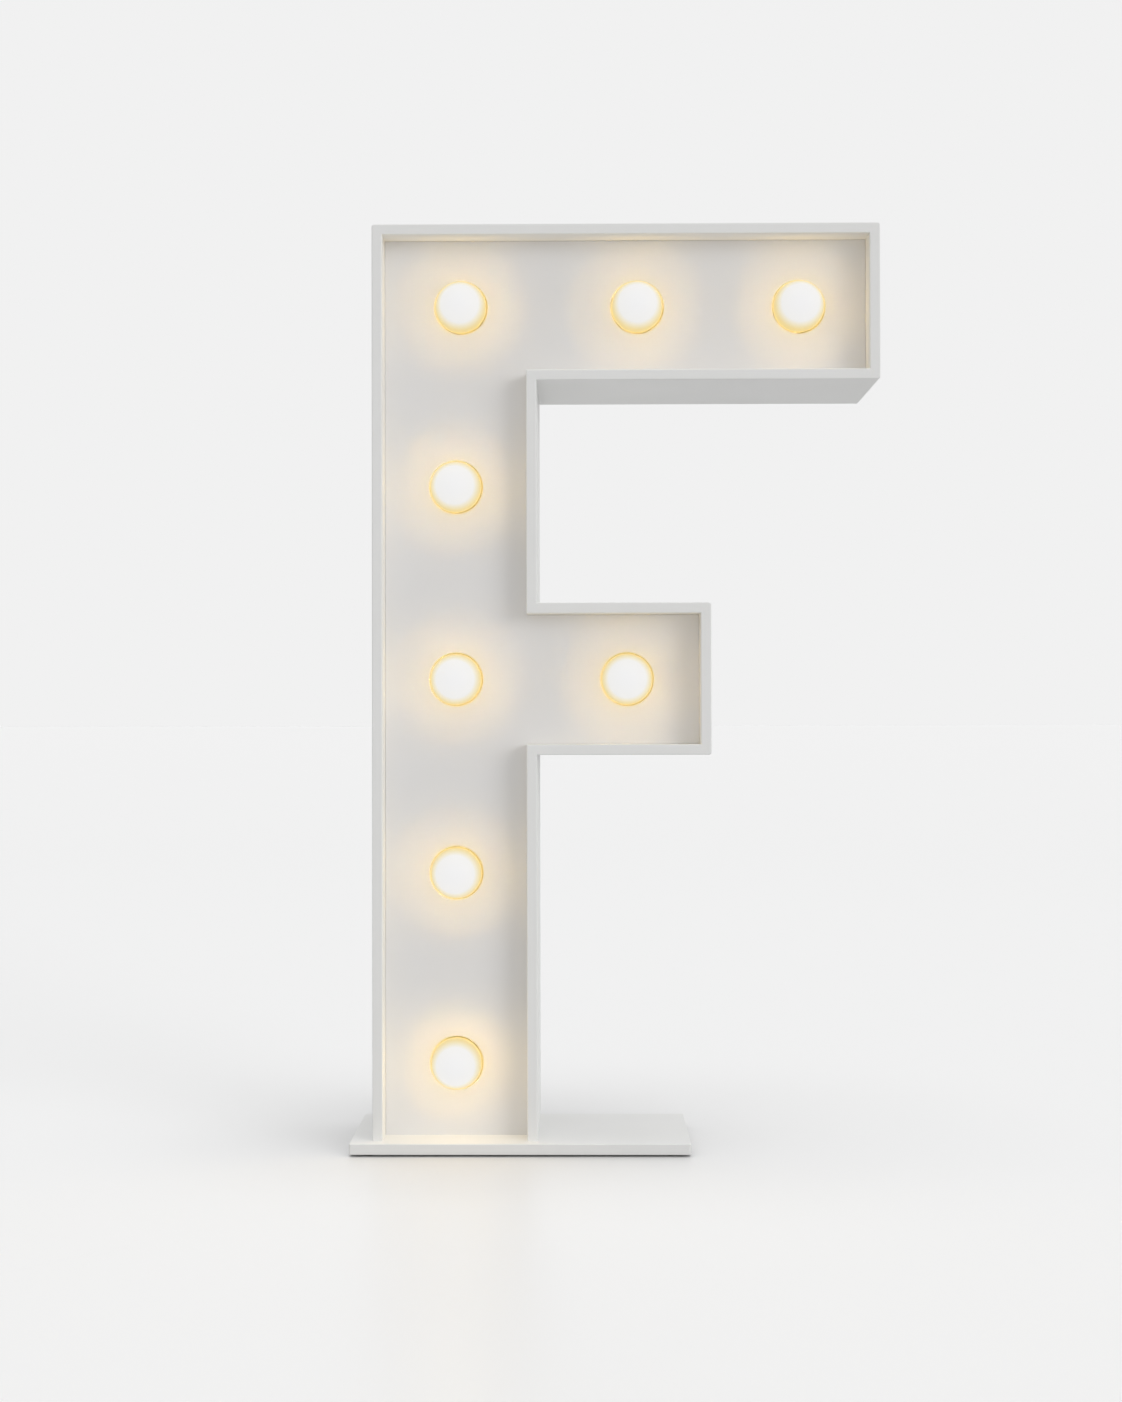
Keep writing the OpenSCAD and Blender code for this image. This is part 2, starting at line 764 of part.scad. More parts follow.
// Rocker in its ON position, with its upper half pressed in
module switch_rocker() {
    reach = 2 * rocker_r;
    rise = reach * tan(rocker_tilt);
    color(black) in_letter() translate([switch_mid, pivot_y, switch_z]) rotate([rocker_tilt, 0, 0]) {
        intersection() {
            rotate([0, 90, 0]) cylinder(r = rocker_r, h = rocker_w, center = true);
            translate([rocker_w / 2, 0, 0]) rotate([0, -90, 0]) linear_extrude(rocker_w) polygon([
                [-reach, -rocker_low],
                [reach, -rocker_low],
                [reach, rocker_top + rise],
                [0, rocker_top],
                [-reach, rocker_top + rise]
            ]);
        }
        rotate([0, 90, 0]) cylinder(d = pivot_d, h = rocker_w + 2 * pivot_len, center = true);
    }
}

// Outline of the inlet's socket, with its two upper corners cut
function socket_outline() =
    let (w = socket_w / 2, h = socket_h / 2)
    [[-w, -h], [w, -h], [w, h - socket_cut], [w - socket_cut, h], [socket_cut - w, h], [-w, h - socket_cut]];

module at_blades() {
    for (blade = blades) translate([inlet_mid + blade[0], 0, switch_z + blade[1]]) children();
}

module inlet_body() {
    color(black) in_letter() difference() {
        union() {
            bar(inlet_mid, inlet_back, switch_z, inlet_w, inlet_d, inlet_h);
            bar(inlet_mid, cover_back, switch_z, inlet_w + 2 * bezel_rim, bezel_t, inlet_h + 2 * bezel_rim);
        }
        translate([inlet_mid, 0, switch_z]) slab(socket_floor, socket_d + past) polygon(socket_outline());
        at_blades() bar(0, inlet_back - past, 0, blade_t, inlet_d, blade_h);
    }
}

module terminal_blades() {
    color(nickel) in_letter() {
        at_blades() bar(0, inlet_back - tag_len, 0, blade_t, blade_end - inlet_back + tag_len, blade_h);
        for (x = tags) bar(switch_mid + x, switch_back - tag_len, tag_z, blade_t, tag_len, blade_h);
    }
}

// Globe lamps: globe, collar, screw cap and end contact
module bulb_globe(k) {
    color(lit_globe) at_lamp(k) translate([0, 0, u_globe]) difference() {
        sphere(r = globe_r);
        sphere(r = globe_r - globe_wall);
        translate([0, 0, globe_cut]) cylinder(r = globe_d, h = globe_d);
    }
}

module bulb_collar(k) {
    color(lamp_white) at_lamp(k) translate([0, 0, u_collar])
        cylinder(r1 = mouth_r + collar_lip, r2 = neck_r, h = collar_len);
}

// Profile of the screw cap: the skirt, then one ridge for each turn of the thread
function cap_profile() = concat(
    [[root_r - cap_wall, u_cap], [skirt_d / 2, u_cap], [skirt_d / 2, u_thread], [root_r, u_thread]],
    [for (turn = [0:cap_turns - 1], step = [0.5, 1])
        [step < 1 ? cap_r : root_r, u_thread + (turn + step) * cap_pitch]],
    [[root_r - cap_wall, u_insulator]]
);

module bulb_cap(k) {
    color(nickel) at_lamp(k) rotate_extrude() polygon(cap_profile());
}

module bulb_tip(k) {
    color(brass) at_lamp(k) {
        translate([0, 0, u_insulator]) cylinder(r1 = root_r, r2 = contact_d / 2, h = insulator_len);
        translate([0, 0, u_contact]) cylinder(d = contact_d, h = contact_len);
    }
}

left_board();
top_board();
top_arm_end_board();
top_arm_lower_board();
upper_stem_board();
mid_arm_upper_board();
mid_arm_end_board();
mid_arm_lower_board();
lower_stem_board();
face_panel();
back_cover();
spacer_blocks();
foot_block();
base_plate();
rubber_feet();
base_screws();
cover_screws();
lamp_cups();
cup_screws();
lampholders();
lampholder_nuts();
contact_shells();
spring_contacts();
lamp_cable();
switch_housing();
switch_rocker();
inlet_body();
terminal_blades();
for (k = [1:lamp_count]) {
    bulb_globe(k);
    bulb_collar(k);
    bulb_cap(k);
    bulb_tip(k);
}
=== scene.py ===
import math
import bmesh
import bpy
from mathutils import Matrix, Vector


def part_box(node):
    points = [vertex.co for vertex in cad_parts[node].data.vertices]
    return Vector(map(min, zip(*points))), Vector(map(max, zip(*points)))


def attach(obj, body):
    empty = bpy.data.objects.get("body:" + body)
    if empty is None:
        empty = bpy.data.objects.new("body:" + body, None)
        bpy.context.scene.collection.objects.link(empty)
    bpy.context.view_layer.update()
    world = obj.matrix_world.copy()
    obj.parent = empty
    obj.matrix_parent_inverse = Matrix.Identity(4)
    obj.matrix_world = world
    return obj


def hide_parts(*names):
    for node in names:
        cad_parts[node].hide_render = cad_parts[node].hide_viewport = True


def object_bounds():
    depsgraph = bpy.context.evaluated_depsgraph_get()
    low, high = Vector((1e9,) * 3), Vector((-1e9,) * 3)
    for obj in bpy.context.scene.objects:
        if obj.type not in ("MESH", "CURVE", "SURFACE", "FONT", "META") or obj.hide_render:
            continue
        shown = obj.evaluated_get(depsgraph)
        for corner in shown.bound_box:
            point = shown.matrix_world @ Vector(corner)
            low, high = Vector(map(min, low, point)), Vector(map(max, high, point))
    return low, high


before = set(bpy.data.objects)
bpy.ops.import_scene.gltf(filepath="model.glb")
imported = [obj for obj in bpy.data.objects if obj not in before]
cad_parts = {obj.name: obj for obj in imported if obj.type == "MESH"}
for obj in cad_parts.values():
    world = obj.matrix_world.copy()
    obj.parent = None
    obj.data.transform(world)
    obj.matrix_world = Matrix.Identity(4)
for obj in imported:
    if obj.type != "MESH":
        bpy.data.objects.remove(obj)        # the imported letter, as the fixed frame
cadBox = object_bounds()
mm = 0.001
hair = 0.05 * mm         # how near a point has to lie to count as on a line
weld = 0.001 * mm        # points nearer than this become one
quarter = math.pi / 2    # a quarter turn
smoothUpTo = 32          # degrees between faces that still shade as one
squareOn = 0.99          # how straight a face has to look along an axis, 1 for exactly


# Working in edit mode

def nothing():           # object mode, with nothing picked
    if bpy.context.mode != "OBJECT":
        bpy.ops.object.mode_set(mode="OBJECT")
    bpy.ops.object.select_all(action="DESELECT")


def only(piece):         # one piece picked, in object mode
    nothing()
    piece.select_set(True)
    bpy.context.view_layer.objects.active = piece


def begin(piece):        # one piece in edit mode, with nothing picked on it
    only(piece)
    bpy.ops.object.mode_set(mode="EDIT")
    bpy.ops.mesh.select_all(action="DESELECT")


def near(a, b):
    return abs(a - b) < hair


def middle(part):        # the middle of an edge or a face
    return sum((v.co for v in part.verts), Vector()) / len(part.verts)


def pick(kind, test):    # picks only the points, edges or faces that pass the test
    bpy.ops.mesh.select_mode(type=kind)
    bpy.ops.mesh.select_all(action="DESELECT")
    data = bpy.context.edit_object.data
    mesh = bmesh.from_edit_mesh(data)
    for part in {"VERT": mesh.verts, "EDGE": mesh.edges, "FACE": mesh.faces}[kind]:
        if test(part):
            part.select_set(True)
    mesh.select_flush_mode()
    bmesh.update_edit_mesh(data)


def runs(edge, axis):    # whether an edge lies along an axis
    a, b = edge.verts[0].co, edge.verts[1].co
    return all(near(a[i], b[i]) for i in range(3) if i != axis)


def at(edge, axis, place):   # whether both ends of an edge lie at a place along an axis
    return all(near(v.co[axis], place) for v in edge.verts)


def looks(face, axis, way):          # whether a face looks straight up an axis, or down it where way is -1
    return way * face.normal[axis] > squareOn


def sharp(edge, least=30):           # whether the faces at an edge meet at more than some degrees
    return len(edge.link_faces) == 2 and edge.calc_face_angle() > math.radians(least)


def soften(test, width, steps):      # rounds the edges that pass the test
    pick("EDGE", test)
    bpy.ops.mesh.bevel(offset=width, segments=steps, affect="EDGES", clamp_overlap=False)


def pull(shift):         # extrudes what is picked
    bpy.ops.mesh.extrude_region_move(TRANSFORM_OT_translate={"value": shift})


def cutAlong(place, normal, **clear):        # cuts the whole piece along a plane
    bpy.ops.mesh.select_all(action="SELECT")
    bpy.ops.mesh.bisect(plane_co=place, plane_no=normal, threshold=weld, **clear)


def tidyFaces():         # merges doubles and turns the faces outwards
    bpy.ops.mesh.select_all(action="SELECT")
    bpy.ops.mesh.remove_doubles(threshold=weld)
    bpy.ops.mesh.normals_make_consistent(inside=False)


def settle(piece):       # puts an object's place, turn and size into its mesh
    only(piece)
    bpy.ops.object.transform_apply(location=True, rotation=True, scale=True)
    return piece


def addBlock(low, high):             # a cube stretched between two corners
    nothing()
    bpy.ops.mesh.primitive_cube_add(size=1, location=(Vector(low) + Vector(high)) / 2)
    block = bpy.context.object
    block.scale = Vector(high) - Vector(low)
    return settle(block)


def addRod(centre, radius, length, sides, tip=None):         # turned about an axis from front to back
    nothing()
    bpy.ops.mesh.primitive_cone_add(
        vertices=sides, radius1=radius, radius2=radius if tip is None else tip, depth=length,
        location=centre, rotation=(-quarter, 0, 0))
    return settle(bpy.context.object)


def copied(piece, shift=(0, 0, 0), turn=0):      # a copy with its own mesh, moved and turned
    twin = piece.copy()
    twin.data = piece.data.copy()
    bpy.context.collection.objects.link(twin)
    twin.data.transform(Matrix.Translation(shift) @ Matrix.Rotation(turn, 4, "Y"))
    return twin


def joined(parts):       # several meshes as one object
    only(parts[0])
    for part in parts:
        part.select_set(True)
    if len(parts) > 1:
        bpy.ops.object.join()
    return bpy.context.object


def cutAway(piece, cutters, operation="DIFFERENCE"):         # takes shapes out of a piece, or adds them to it
    cutter = joined(cutters)
    only(piece)
    cut = piece.modifiers.new("cut", "BOOLEAN")
    cut.object = cutter
    cut.operation = operation
    cut.solver = "EXACT"
    cut.use_self = len(cutters) > 1                          # cutters may cross each other
    bpy.ops.object.modifier_apply(modifier=cut.name)
    bpy.data.objects.remove(cutter)


def finishPiece(piece, name, body, slot, material, *nodes):  # smooth shading, finish, body and CAD nodes
    only(piece)
    bpy.ops.object.shade_smooth_by_angle(angle=math.radians(smoothUpTo))
    flat = piece.modifiers.new("flat", "WEIGHTED_NORMAL")    # flat faces stay flat beside their rounded edges
    flat.keep_sharp = True
    bpy.ops.object.modifier_apply(modifier=flat.name)
    piece.name = name
    piece.data.name = name
    piece.data.materials.clear()
    piece.data.materials.append(material)
    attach(piece, body)
    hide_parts(*nodes)


# Materials

def linear(hexColour):   # sRGB hex to linear
    parts = [int(hexColour[i:i + 2], 16) / 255 for i in (1, 3, 5)]
    return tuple(p / 12.92 if p <= 0.04045 else ((p + 0.055) / 1.055) ** 2.4 for p in parts) + (1.0,)


def addNode(tree, kind, inputs=None, **settings):            # adds a node with its settings and links
    made = tree.nodes.new("ShaderNode" + kind)
    for name, value in settings.items():
        setattr(made, name, value)
    for name, value in (inputs or {}).items():
        if isinstance(value, bpy.types.NodeSocket):
            tree.links.new(value, made.inputs[name])
        else:
            made.inputs[name].default_value = value
    return made


def newMaterial(name):   # an empty material, its node tree and the place on the piece
    material = bpy.data.materials.new(name)
    material.use_nodes = True
    tree = material.node_tree
    tree.nodes.clear()
    place = addNode(tree, "TexCoord").outputs["Object"]
    return material, tree, place


def whiteLacquer(name, white, shade):
    # Satin lacquer sprayed on board: an even white with a soft sheen and a faint orange peel
    look = {"cloud": 90 * mm, "peel": 2.2 * mm, "peelLift": 0.08, "peelDepth": 0.15 * mm,
            "rough": (0.40, 0.50), "ior": 1.48}
    material, tree, place = newMaterial(name)
    cloud = addNode(tree, "TexNoise", {"Vector": place, "Scale": 1 / look["cloud"], "Detail": 3.0})
    # A colour Mix takes its share at 0 and its two colours at 6 and 7, and gives the blend at 2
    tint = addNode(tree, "Mix", {0: cloud.outputs[0], 6: linear(white), 7: linear(shade)},
                   data_type="RGBA")
    gloss = addNode(tree, "MapRange", {"Value": cloud.outputs[0], "To Min": look["rough"][0],
                                       "To Max": look["rough"][1]})
    peel = addNode(tree, "TexNoise", {"Vector": place, "Scale": 1 / look["peel"], "Detail": 2.0})
    bump = addNode(tree, "Bump", {"Height": peel.outputs[0], "Strength": look["peelLift"],
                                  "Distance": look["peelDepth"]})
    shader = addNode(tree, "BsdfPrincipled", {
        "Base Color": tint.outputs[2], "Roughness": gloss.outputs[0], "Normal": bump.outputs[0],
        "IOR": look["ior"]})
    addNode(tree, "OutputMaterial", {"Surface": shader.outputs[0]})
    return material


def litOpal(frontY, radius):
    # Opal polycarbonate globe, lit from inside: white over the crown and warmer where the wall turns away
    look = {"opal": "#625e58", "rough": (0.36, 0.48), "mottle": 7 * mm, "ior": 1.58, "specular": 0.25}
    glow = [             # depth behind the crown in radii, and the light there
        (0.00, (0.77, 0.775, 0.79)),
        (0.31, (0.77, 0.77, 0.76)),
        (0.44, (0.76, 0.70, 0.53)),
        (0.57, (0.74, 0.63, 0.35)),
        (0.70, (0.73, 0.57, 0.23)),
        (1.10, (0.75, 0.57, 0.18)),
        (1.28, (0.95, 0.72, 0.29)),
        (1.60, (1.25, 0.96, 0.40)),
    ]
    brightest = max(max(light) for station, light in glow)
    material, tree, place = newMaterial("lit_opal_polycarbonate")
    depth = addNode(tree, "SeparateXYZ", {"Vector": place})
    share = addNode(tree, "MapRange", {"Value": depth.outputs["Y"], "From Min": frontY,
                                       "From Max": frontY + glow[-1][0] * radius})
    ramp = addNode(tree, "ValToRGB", {"Fac": share.outputs[0]})
    ramp.color_ramp.interpolation = "LINEAR"
    while len(ramp.color_ramp.elements) < len(glow):
        ramp.color_ramp.elements.new(1.0)
    for stop, (station, light) in zip(ramp.color_ramp.elements, glow):
        stop.position = station / glow[-1][0]
        stop.color = tuple(channel / brightest for channel in light) + (1.0,)
    mottle = addNode(tree, "TexNoise", {"Vector": place, "Scale": 1 / look["mottle"], "Detail": 2.0})
    gloss = addNode(tree, "MapRange", {"Value": mottle.outputs[0], "To Min": look["rough"][0],
                                       "To Max": look["rough"][1]})
    shader = addNode(tree, "BsdfPrincipled", {
        "Base Color": linear(look["opal"]), "Roughness": gloss.outputs[0], "IOR": look["ior"],
        "Specular IOR Level": look["specular"],
        "Emission Color": ramp.outputs[0], "Emission Strength": brightest})
    addNode(tree, "OutputMaterial", {"Surface": shader.outputs[0]})
    return material


def evenSkin(name, colour, dark, rough, grain, lift, ior=1.5):
    # Moulded plastic or rubber, or fired enamel: one colour, with the fine grain of the mould or the kiln
    look = {"cloud": 12 * mm, "roughSpread": 0.05, "grainDepth": 0.1 * mm}
    material, tree, place = newMaterial(name)
    cloud = addNode(tree, "TexNoise", {"Vector": place, "Scale": 1 / look["cloud"], "Detail": 2.0})
    tint = addNode(tree, "Mix", {0: cloud.outputs[0], 6: linear(colour), 7: linear(dark)}, data_type="RGBA")
    gloss = addNode(tree, "MapRange", {"Value": cloud.outputs[0], "To Min": rough - look["roughSpread"],
                                       "To Max": rough + look["roughSpread"]})
    pits = addNode(tree, "TexNoise", {"Vector": place, "Scale": 1 / grain, "Detail": 3.0})
    bump = addNode(tree, "Bump", {"Height": pits.outputs[0], "Strength": lift,
                                  "Distance": look["grainDepth"]})
    shader = addNode(tree, "BsdfPrincipled", {
        "Base Color": tint.outputs[2], "Roughness": gloss.outputs[0], "Normal": bump.outputs[0], "IOR": ior})
    addNode(tree, "OutputMaterial", {"Surface": shader.outputs[0]})
    return material


def drawnMetal(name, colour, stain, rough, streak):
    # Drawn metal, bare or plated: bright, with soft tool lines round it and a little staining
    look = {"stains": 4 * mm, "squeeze": (1.0, 12.0, 1.0), "roughSpread": 0.08, "toolLift": 0.1,
            "toolDepth": 0.05 * mm}
    material, tree, place = newMaterial(name)
    stains = addNode(tree, "TexNoise", {"Vector": place, "Scale": 1 / look["stains"], "Detail": 4.0})
    tint = addNode(tree, "Mix", {0: stains.outputs[0], 6: linear(colour), 7: linear(stain)}, data_type="RGBA")
    squeezed = addNode(tree, "Mapping", {"Vector": place, "Scale": look["squeeze"]})
    tool = addNode(tree, "TexNoise", {"Vector": squeezed.outputs[0], "Scale": 1 / streak, "Detail": 2.0})
    gloss = addNode(tree, "MapRange", {"Value": tool.outputs[0], "To Min": rough - look["roughSpread"],
                                       "To Max": rough + look["roughSpread"]})
    bump = addNode(tree, "Bump", {"Height": tool.outputs[0], "Strength": look["toolLift"],
                                  "Distance": look["toolDepth"]})
    shader = addNode(tree, "BsdfPrincipled", {
        "Base Color": tint.outputs[2], "Metallic": 1.0, "Roughness": gloss.outputs[0],
        "Normal": bump.outputs[0]})
    addNode(tree, "OutputMaterial", {"Surface": shader.outputs[0]})
    return material


def planedPine():
    # Planed pine blocks: pale early wood with darker late-wood lines that run from front to back
    look = {"early": "#d9bd8c", "late": "#b98f57", "ring": 5 * mm, "waver": 6.0, "fibre": 0.8 * mm,
            "fibreLift": 0.25, "fibreDepth": 0.1 * mm, "stretch": (1.0, 0.06, 1.0), "rough": 0.62}
    bandStep = 0.3       # metres from band to band of the wave pattern at a scale of 1
    material, tree, place = newMaterial("planed_pine")
    along = addNode(tree, "Mapping", {"Vector": place, "Scale": look["stretch"]})
    rings = addNode(tree, "TexWave", {"Vector": along.outputs[0], "Scale": bandStep / look["ring"],
                                      "Distortion": look["waver"], "Detail": 2.0}, bands_direction="DIAGONAL")
    fibre = addNode(tree, "TexNoise", {"Vector": along.outputs[0], "Scale": 1 / look["fibre"], "Detail": 3.0})
    tint = addNode(tree, "Mix", {0: rings.outputs["Fac"], 6: linear(look["early"]), 7: linear(look["late"])},
                   data_type="RGBA")
    bump = addNode(tree, "Bump", {"Height": fibre.outputs[0], "Strength": look["fibreLift"],
                                  "Distance": look["fibreDepth"]})
    shader = addNode(tree, "BsdfPrincipled", {"Base Color": tint.outputs[2], "Roughness": look["rough"],
                                              "Normal": bump.outputs[0]})
    addNode(tree, "OutputMaterial", {"Surface": shader.outputs[0]})
    return material


globeLow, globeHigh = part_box("bulb_globe_1")
globeR = (globeHigh.x - globeLow.x) / 2
finish = {               # name, two colours, then roughness, size and height of the grain, and IOR
    "lacquer": whiteLacquer("white_lacquer_on_fibreboard", "#f0f0ef", "#ebebe9"),
    # the face panel's lacquer is greyer and cooler than the boards': painted shade for its recess behind the
    # boards' front edges
    "recessShadedLacquer": whiteLacquer("white_lacquer_with_painted_recess_shade", "#e5e6e9", "#e1e2e4"),
    "pine": planedPine(),
    "globe": litOpal(globeLow.y, globeR),
    "neck": evenSkin("white_polycarbonate", "#efeae0", "#e8e2d6", 0.38, 0.7 * mm, 0.10, 1.58),
    "holder": evenSkin("white_polyester_moulding", "#e9e6df", "#e1ddd4", 0.45, 0.5 * mm, 0.15),
    "enamel": evenSkin("white_enamel_on_steel", "#ecebe6", "#e6e4de", 0.38, 3.0 * mm, 0.06),
    "nickel": drawnMetal("nickel_plated_brass", "#c3beb4", "#a9a398", 0.28, 1.2 * mm),
    "brass": drawnMetal("bare_brass", "#c8a25c", "#a17e41", 0.34, 1.2 * mm),
    "zinc": drawnMetal("zinc_plated_steel", "#bfc2c6", "#a3a8ad", 0.36, 0.8 * mm),
    "black": evenSkin("black_polyamide", "#1b1b1d", "#141416", 0.52, 0.6 * mm, 0.30),
    "rocker": evenSkin("polished_black_plastic", "#161618", "#111113", 0.24, 1.5 * mm, 0.06),
    "mark": evenSkin("white_inlaid_marks", "#e6e6e2", "#dcdcd6", 0.45, 0.3 * mm, 0.10),
    "cable": evenSkin("white_soft_vinyl", "#e4e2db", "#d9d6cd", 0.48, 0.9 * mm, 0.18),
    "rubber": evenSkin("black_rubber", "#1e1e1f", "#171718", 0.80, 0.8 * mm, 0.40),
}
print("finishes made:", len(finish))


# The letter's lines, from its boards

boardLow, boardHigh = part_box("left_board")
lines = {
    "left": boardLow.x,
    "foot": boardLow.z,
    "top": boardHigh.z,
    "front": boardLow.y,
    "back": boardHigh.y,
    "wall": boardHigh.x - boardLow.x,
    "right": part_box("top_arm_end_board")[1].x,
    "topUnder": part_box("top_arm_lower_board")[0].z,
    "stemRight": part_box("lower_stem_board")[1].x,
    "midRight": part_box("mid_arm_end_board")[1].x,
    "midTop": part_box("mid_arm_upper_board")[1].z,
    "midUnder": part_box("mid_arm_lower_board")[0].z,
}
lampCount = sum(name.startswith("bulb_globe_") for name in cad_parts)
lampPlaces = []
for k in range(1, lampCount + 1):
    low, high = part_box(f"bulb_globe_{k}")
    lampPlaces.append(((low.x + high.x) / 2, (low.z + high.z) / 2))


def letterSheet(inset, y, footZ):    # a flat F that faces forwards, drawn in by an inset except at its foot
    left = lines["left"] + inset
    stemRight = lines["stemRight"] - inset
    top = lines["top"] - inset
    arms = [
        (lines["midUnder"] + inset, lines["midTop"] - inset, lines["midRight"] - inset),
        (lines["topUnder"] + inset, top, lines["right"] - inset),
    ]
    nothing()
    bpy.ops.mesh.primitive_plane_add(
        size=1, location=((left + stemRight) / 2, y, (footZ + top) / 2), rotation=(quarter, 0, 0))
    sheet = bpy.context.object
    sheet.scale = (stemRight - left, top - footZ, 1)
    settle(sheet)
    begin(sheet)
    for level in (arms[0][0], arms[0][1], arms[1][0]):
        cutAlong((0, 0, level), (0, 0, 1))
    for low, high, reach in arms:
        pick("EDGE", lambda e: at(e, 0, stemRight) and low < middle(e).z < high)
        bpy.ops.mesh.extrude_edges_move(TRANSFORM_OT_translate={"value": (reach - stemRight, 0, 0)})
    return sheet


# Side boards: one frame round the letter, its edges softened, then sawn apart at the mitres

boardShape = {"cornerRound": 2.2 * mm, "cornerSteps": 5, "edgeRound": 0.9 * mm, "edgeSteps": 3}
corners = [Vector(point) for point in (
    (lines["left"], lines["foot"]),
    (lines["left"], lines["top"]),
    (lines["right"], lines["top"]),
    (lines["right"], lines["topUnder"]),
    (lines["stemRight"], lines["topUnder"]),
    (lines["stemRight"], lines["midTop"]),
    (lines["midRight"], lines["midTop"]),
    (lines["midRight"], lines["midUnder"]),
    (lines["stemRight"], lines["midUnder"]),
    (lines["stemRight"], lines["foot"]),
)]
boardNames = [                       # each board runs from one corner to the next
    "left_board", "top_board", "top_arm_end_board", "top_arm_lower_board", "upper_stem_board",
    "mid_arm_upper_board", "mid_arm_end_board", "mid_arm_lower_board", "lower_stem_board",
]
outsideCorners = [corners[i] for i in (1, 2, 3, 6, 7)]        # the ones that stand out, which get rounded


def boardFrame():
    ring = letterSheet(0, lines["front"], lines["foot"] - lines["wall"])
    bpy.ops.mesh.select_mode(type="FACE")
    bpy.ops.mesh.select_all(action="SELECT")
    bpy.ops.mesh.inset(thickness=lines["wall"], use_boundary=True, use_even_offset=True)
    bpy.ops.mesh.delete(type="FACE")                         # the middle, inside the walls
    cutAlong((0, 0, lines["foot"]), (0, 0, 1), clear_inner=True)
    bpy.ops.mesh.select_all(action="SELECT")
    bpy.ops.mesh.delete_loose()                              # the edge left across the open foot
    bpy.ops.mesh.select_all(action="SELECT")
    pull((0, lines["back"] - lines["front"], 0))
    tidyFaces()
    soften(lambda e: runs(e, 1) and any(near(e.verts[0].co.x, c.x) and near(e.verts[0].co.z, c.y)
                                        for c in outsideCorners),
           boardShape["cornerRound"], boardShape["cornerSteps"])
    soften(lambda e: sharp(e) and (at(e, 1, lines["front"]) or at(e, 1, lines["back"]))
           and not at(e, 2, lines["foot"]), boardShape["edgeRound"], boardShape["edgeSteps"])
    tidyFaces()
    return ring


def heading(i):          # which way board i runs
    step = corners[i + 1] - corners[i]
    return step / step.length


ring = boardFrame()
only(ring)
for i, name in enumerate(boardNames):
    board = copied(ring)
    begin(board)
    for j, waste in ((i, "clear_inner"), (i + 1, "clear_outer")):
        if 0 < j < len(boardNames):                          # the two ends at the foot are square
            mitre = heading(j - 1) + heading(j)
            cutAlong((corners[j].x, 0, corners[j].y), (mitre.x, 0, mitre.y), use_fill=True, **{waste: True})
    low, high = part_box(name)
    pick("VERT", lambda v: any(v.co[a] < low[a] - hair or v.co[a] > high[a] + hair for a in range(3)))
    bpy.ops.mesh.delete(type="VERT")
    tidyFaces()
    finishPiece(board, "lacquered_" + name, "letter", "white_lacquer", finish["lacquer"], name)
bpy.data.objects.remove(ring)
print("boards sawn:", len(boardNames))


# Face panel, drilled for the lamps

panelShape = {"holeGap": 1.0 * mm, "holeRound": 0.4 * mm, "holeSteps": 3, "sides": 96, "slack": 0.2 * mm,
              "drillL": 40 * mm}
panelLow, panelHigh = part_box("face_panel")
holeR = globeR + panelShape["holeGap"]


def onHole(edge):        # whether an edge lies on the rim of a lamp hole
    reach = [min(math.hypot(v.co.x - x, v.co.z - z) for x, z in lampPlaces) for v in edge.verts]
    return all(abs(r - holeR) < panelShape["slack"] for r in reach)


panel = letterSheet(panelLow.x - lines["left"], panelLow.y, panelLow.z)
bpy.ops.mesh.select_all(action="SELECT")
pull((0, panelHigh.y - panelLow.y, 0))
tidyFaces()
drills = [addRod((x, panelLow.y, z), holeR, panelShape["drillL"], panelShape["sides"]) for x, z in lampPlaces]
cutAway(panel, drills)
begin(panel)
tidyFaces()
soften(lambda e: at(e, 1, panelLow.y) and onHole(e), panelShape["holeRound"], panelShape["holeSteps"])
# the panel takes the greyer lacquer, a painted recess shade
finishPiece(panel, "lacquered_face_panel", "letter", "white_lacquer", finish["recessShadedLacquer"], "face_panel")
print("face panel drilled")


# Base plate, with countersinks below for its screws

plateShape = {"cornerRound": 1.6 * mm, "cornerSteps": 4, "edgeRound": 0.9 * mm, "edgeSteps": 3,
              "headR": 4.3 * mm, "shankR": 2.15 * mm, "holeSides": 48, "holeL": 20 * mm, "below": 1 * mm,
              "screwX": 41 * mm, "screwY": 24 * mm}
plateLow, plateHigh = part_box("base_plate")
screwLow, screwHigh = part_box("base_screws")
screwMid = (screwLow + screwHigh) / 2
sink = plateShape["headR"] - plateShape["shankR"]
plate = addBlock(plateLow, plateHigh)
begin(plate)
soften(lambda e: runs(e, 2), plateShape["cornerRound"], plateShape["cornerSteps"])
soften(lambda e: sharp(e) and (at(e, 2, plateLow.z) or at(e, 2, plateHigh.z)),
       plateShape["edgeRound"], plateShape["edgeSteps"])
only(plate)
sinks = []
for side in (-1, 1):
    for end in (-1, 1):
        place = Vector((screwMid.x + side * plateShape["screwX"], screwMid.y + end * plateShape["screwY"], 0))
        nothing()
        bpy.ops.mesh.primitive_cone_add(
            vertices=plateShape["holeSides"], radius1=plateShape["headR"], radius2=plateShape["shankR"],
            depth=sink, location=place + Vector((0, 0, plateLow.z + sink / 2)))
        hole = settle(bpy.context.object)
        begin(hole)
        pick("FACE", lambda f: looks(f, 2, 1))
        pull((0, 0, plateShape["holeL"]))                    # the shank's hole, right through
        pick("FACE", lambda f: looks(f, 2, -1))
        pull((0, 0, -plateShape["below"]))
        only(hole)
        sinks.append(hole)
cutAway(plate, sinks)
finishPiece(plate, "lacquered_base_plate", "letter", "white_lacquer", finish["lacquer"], "base_plate")

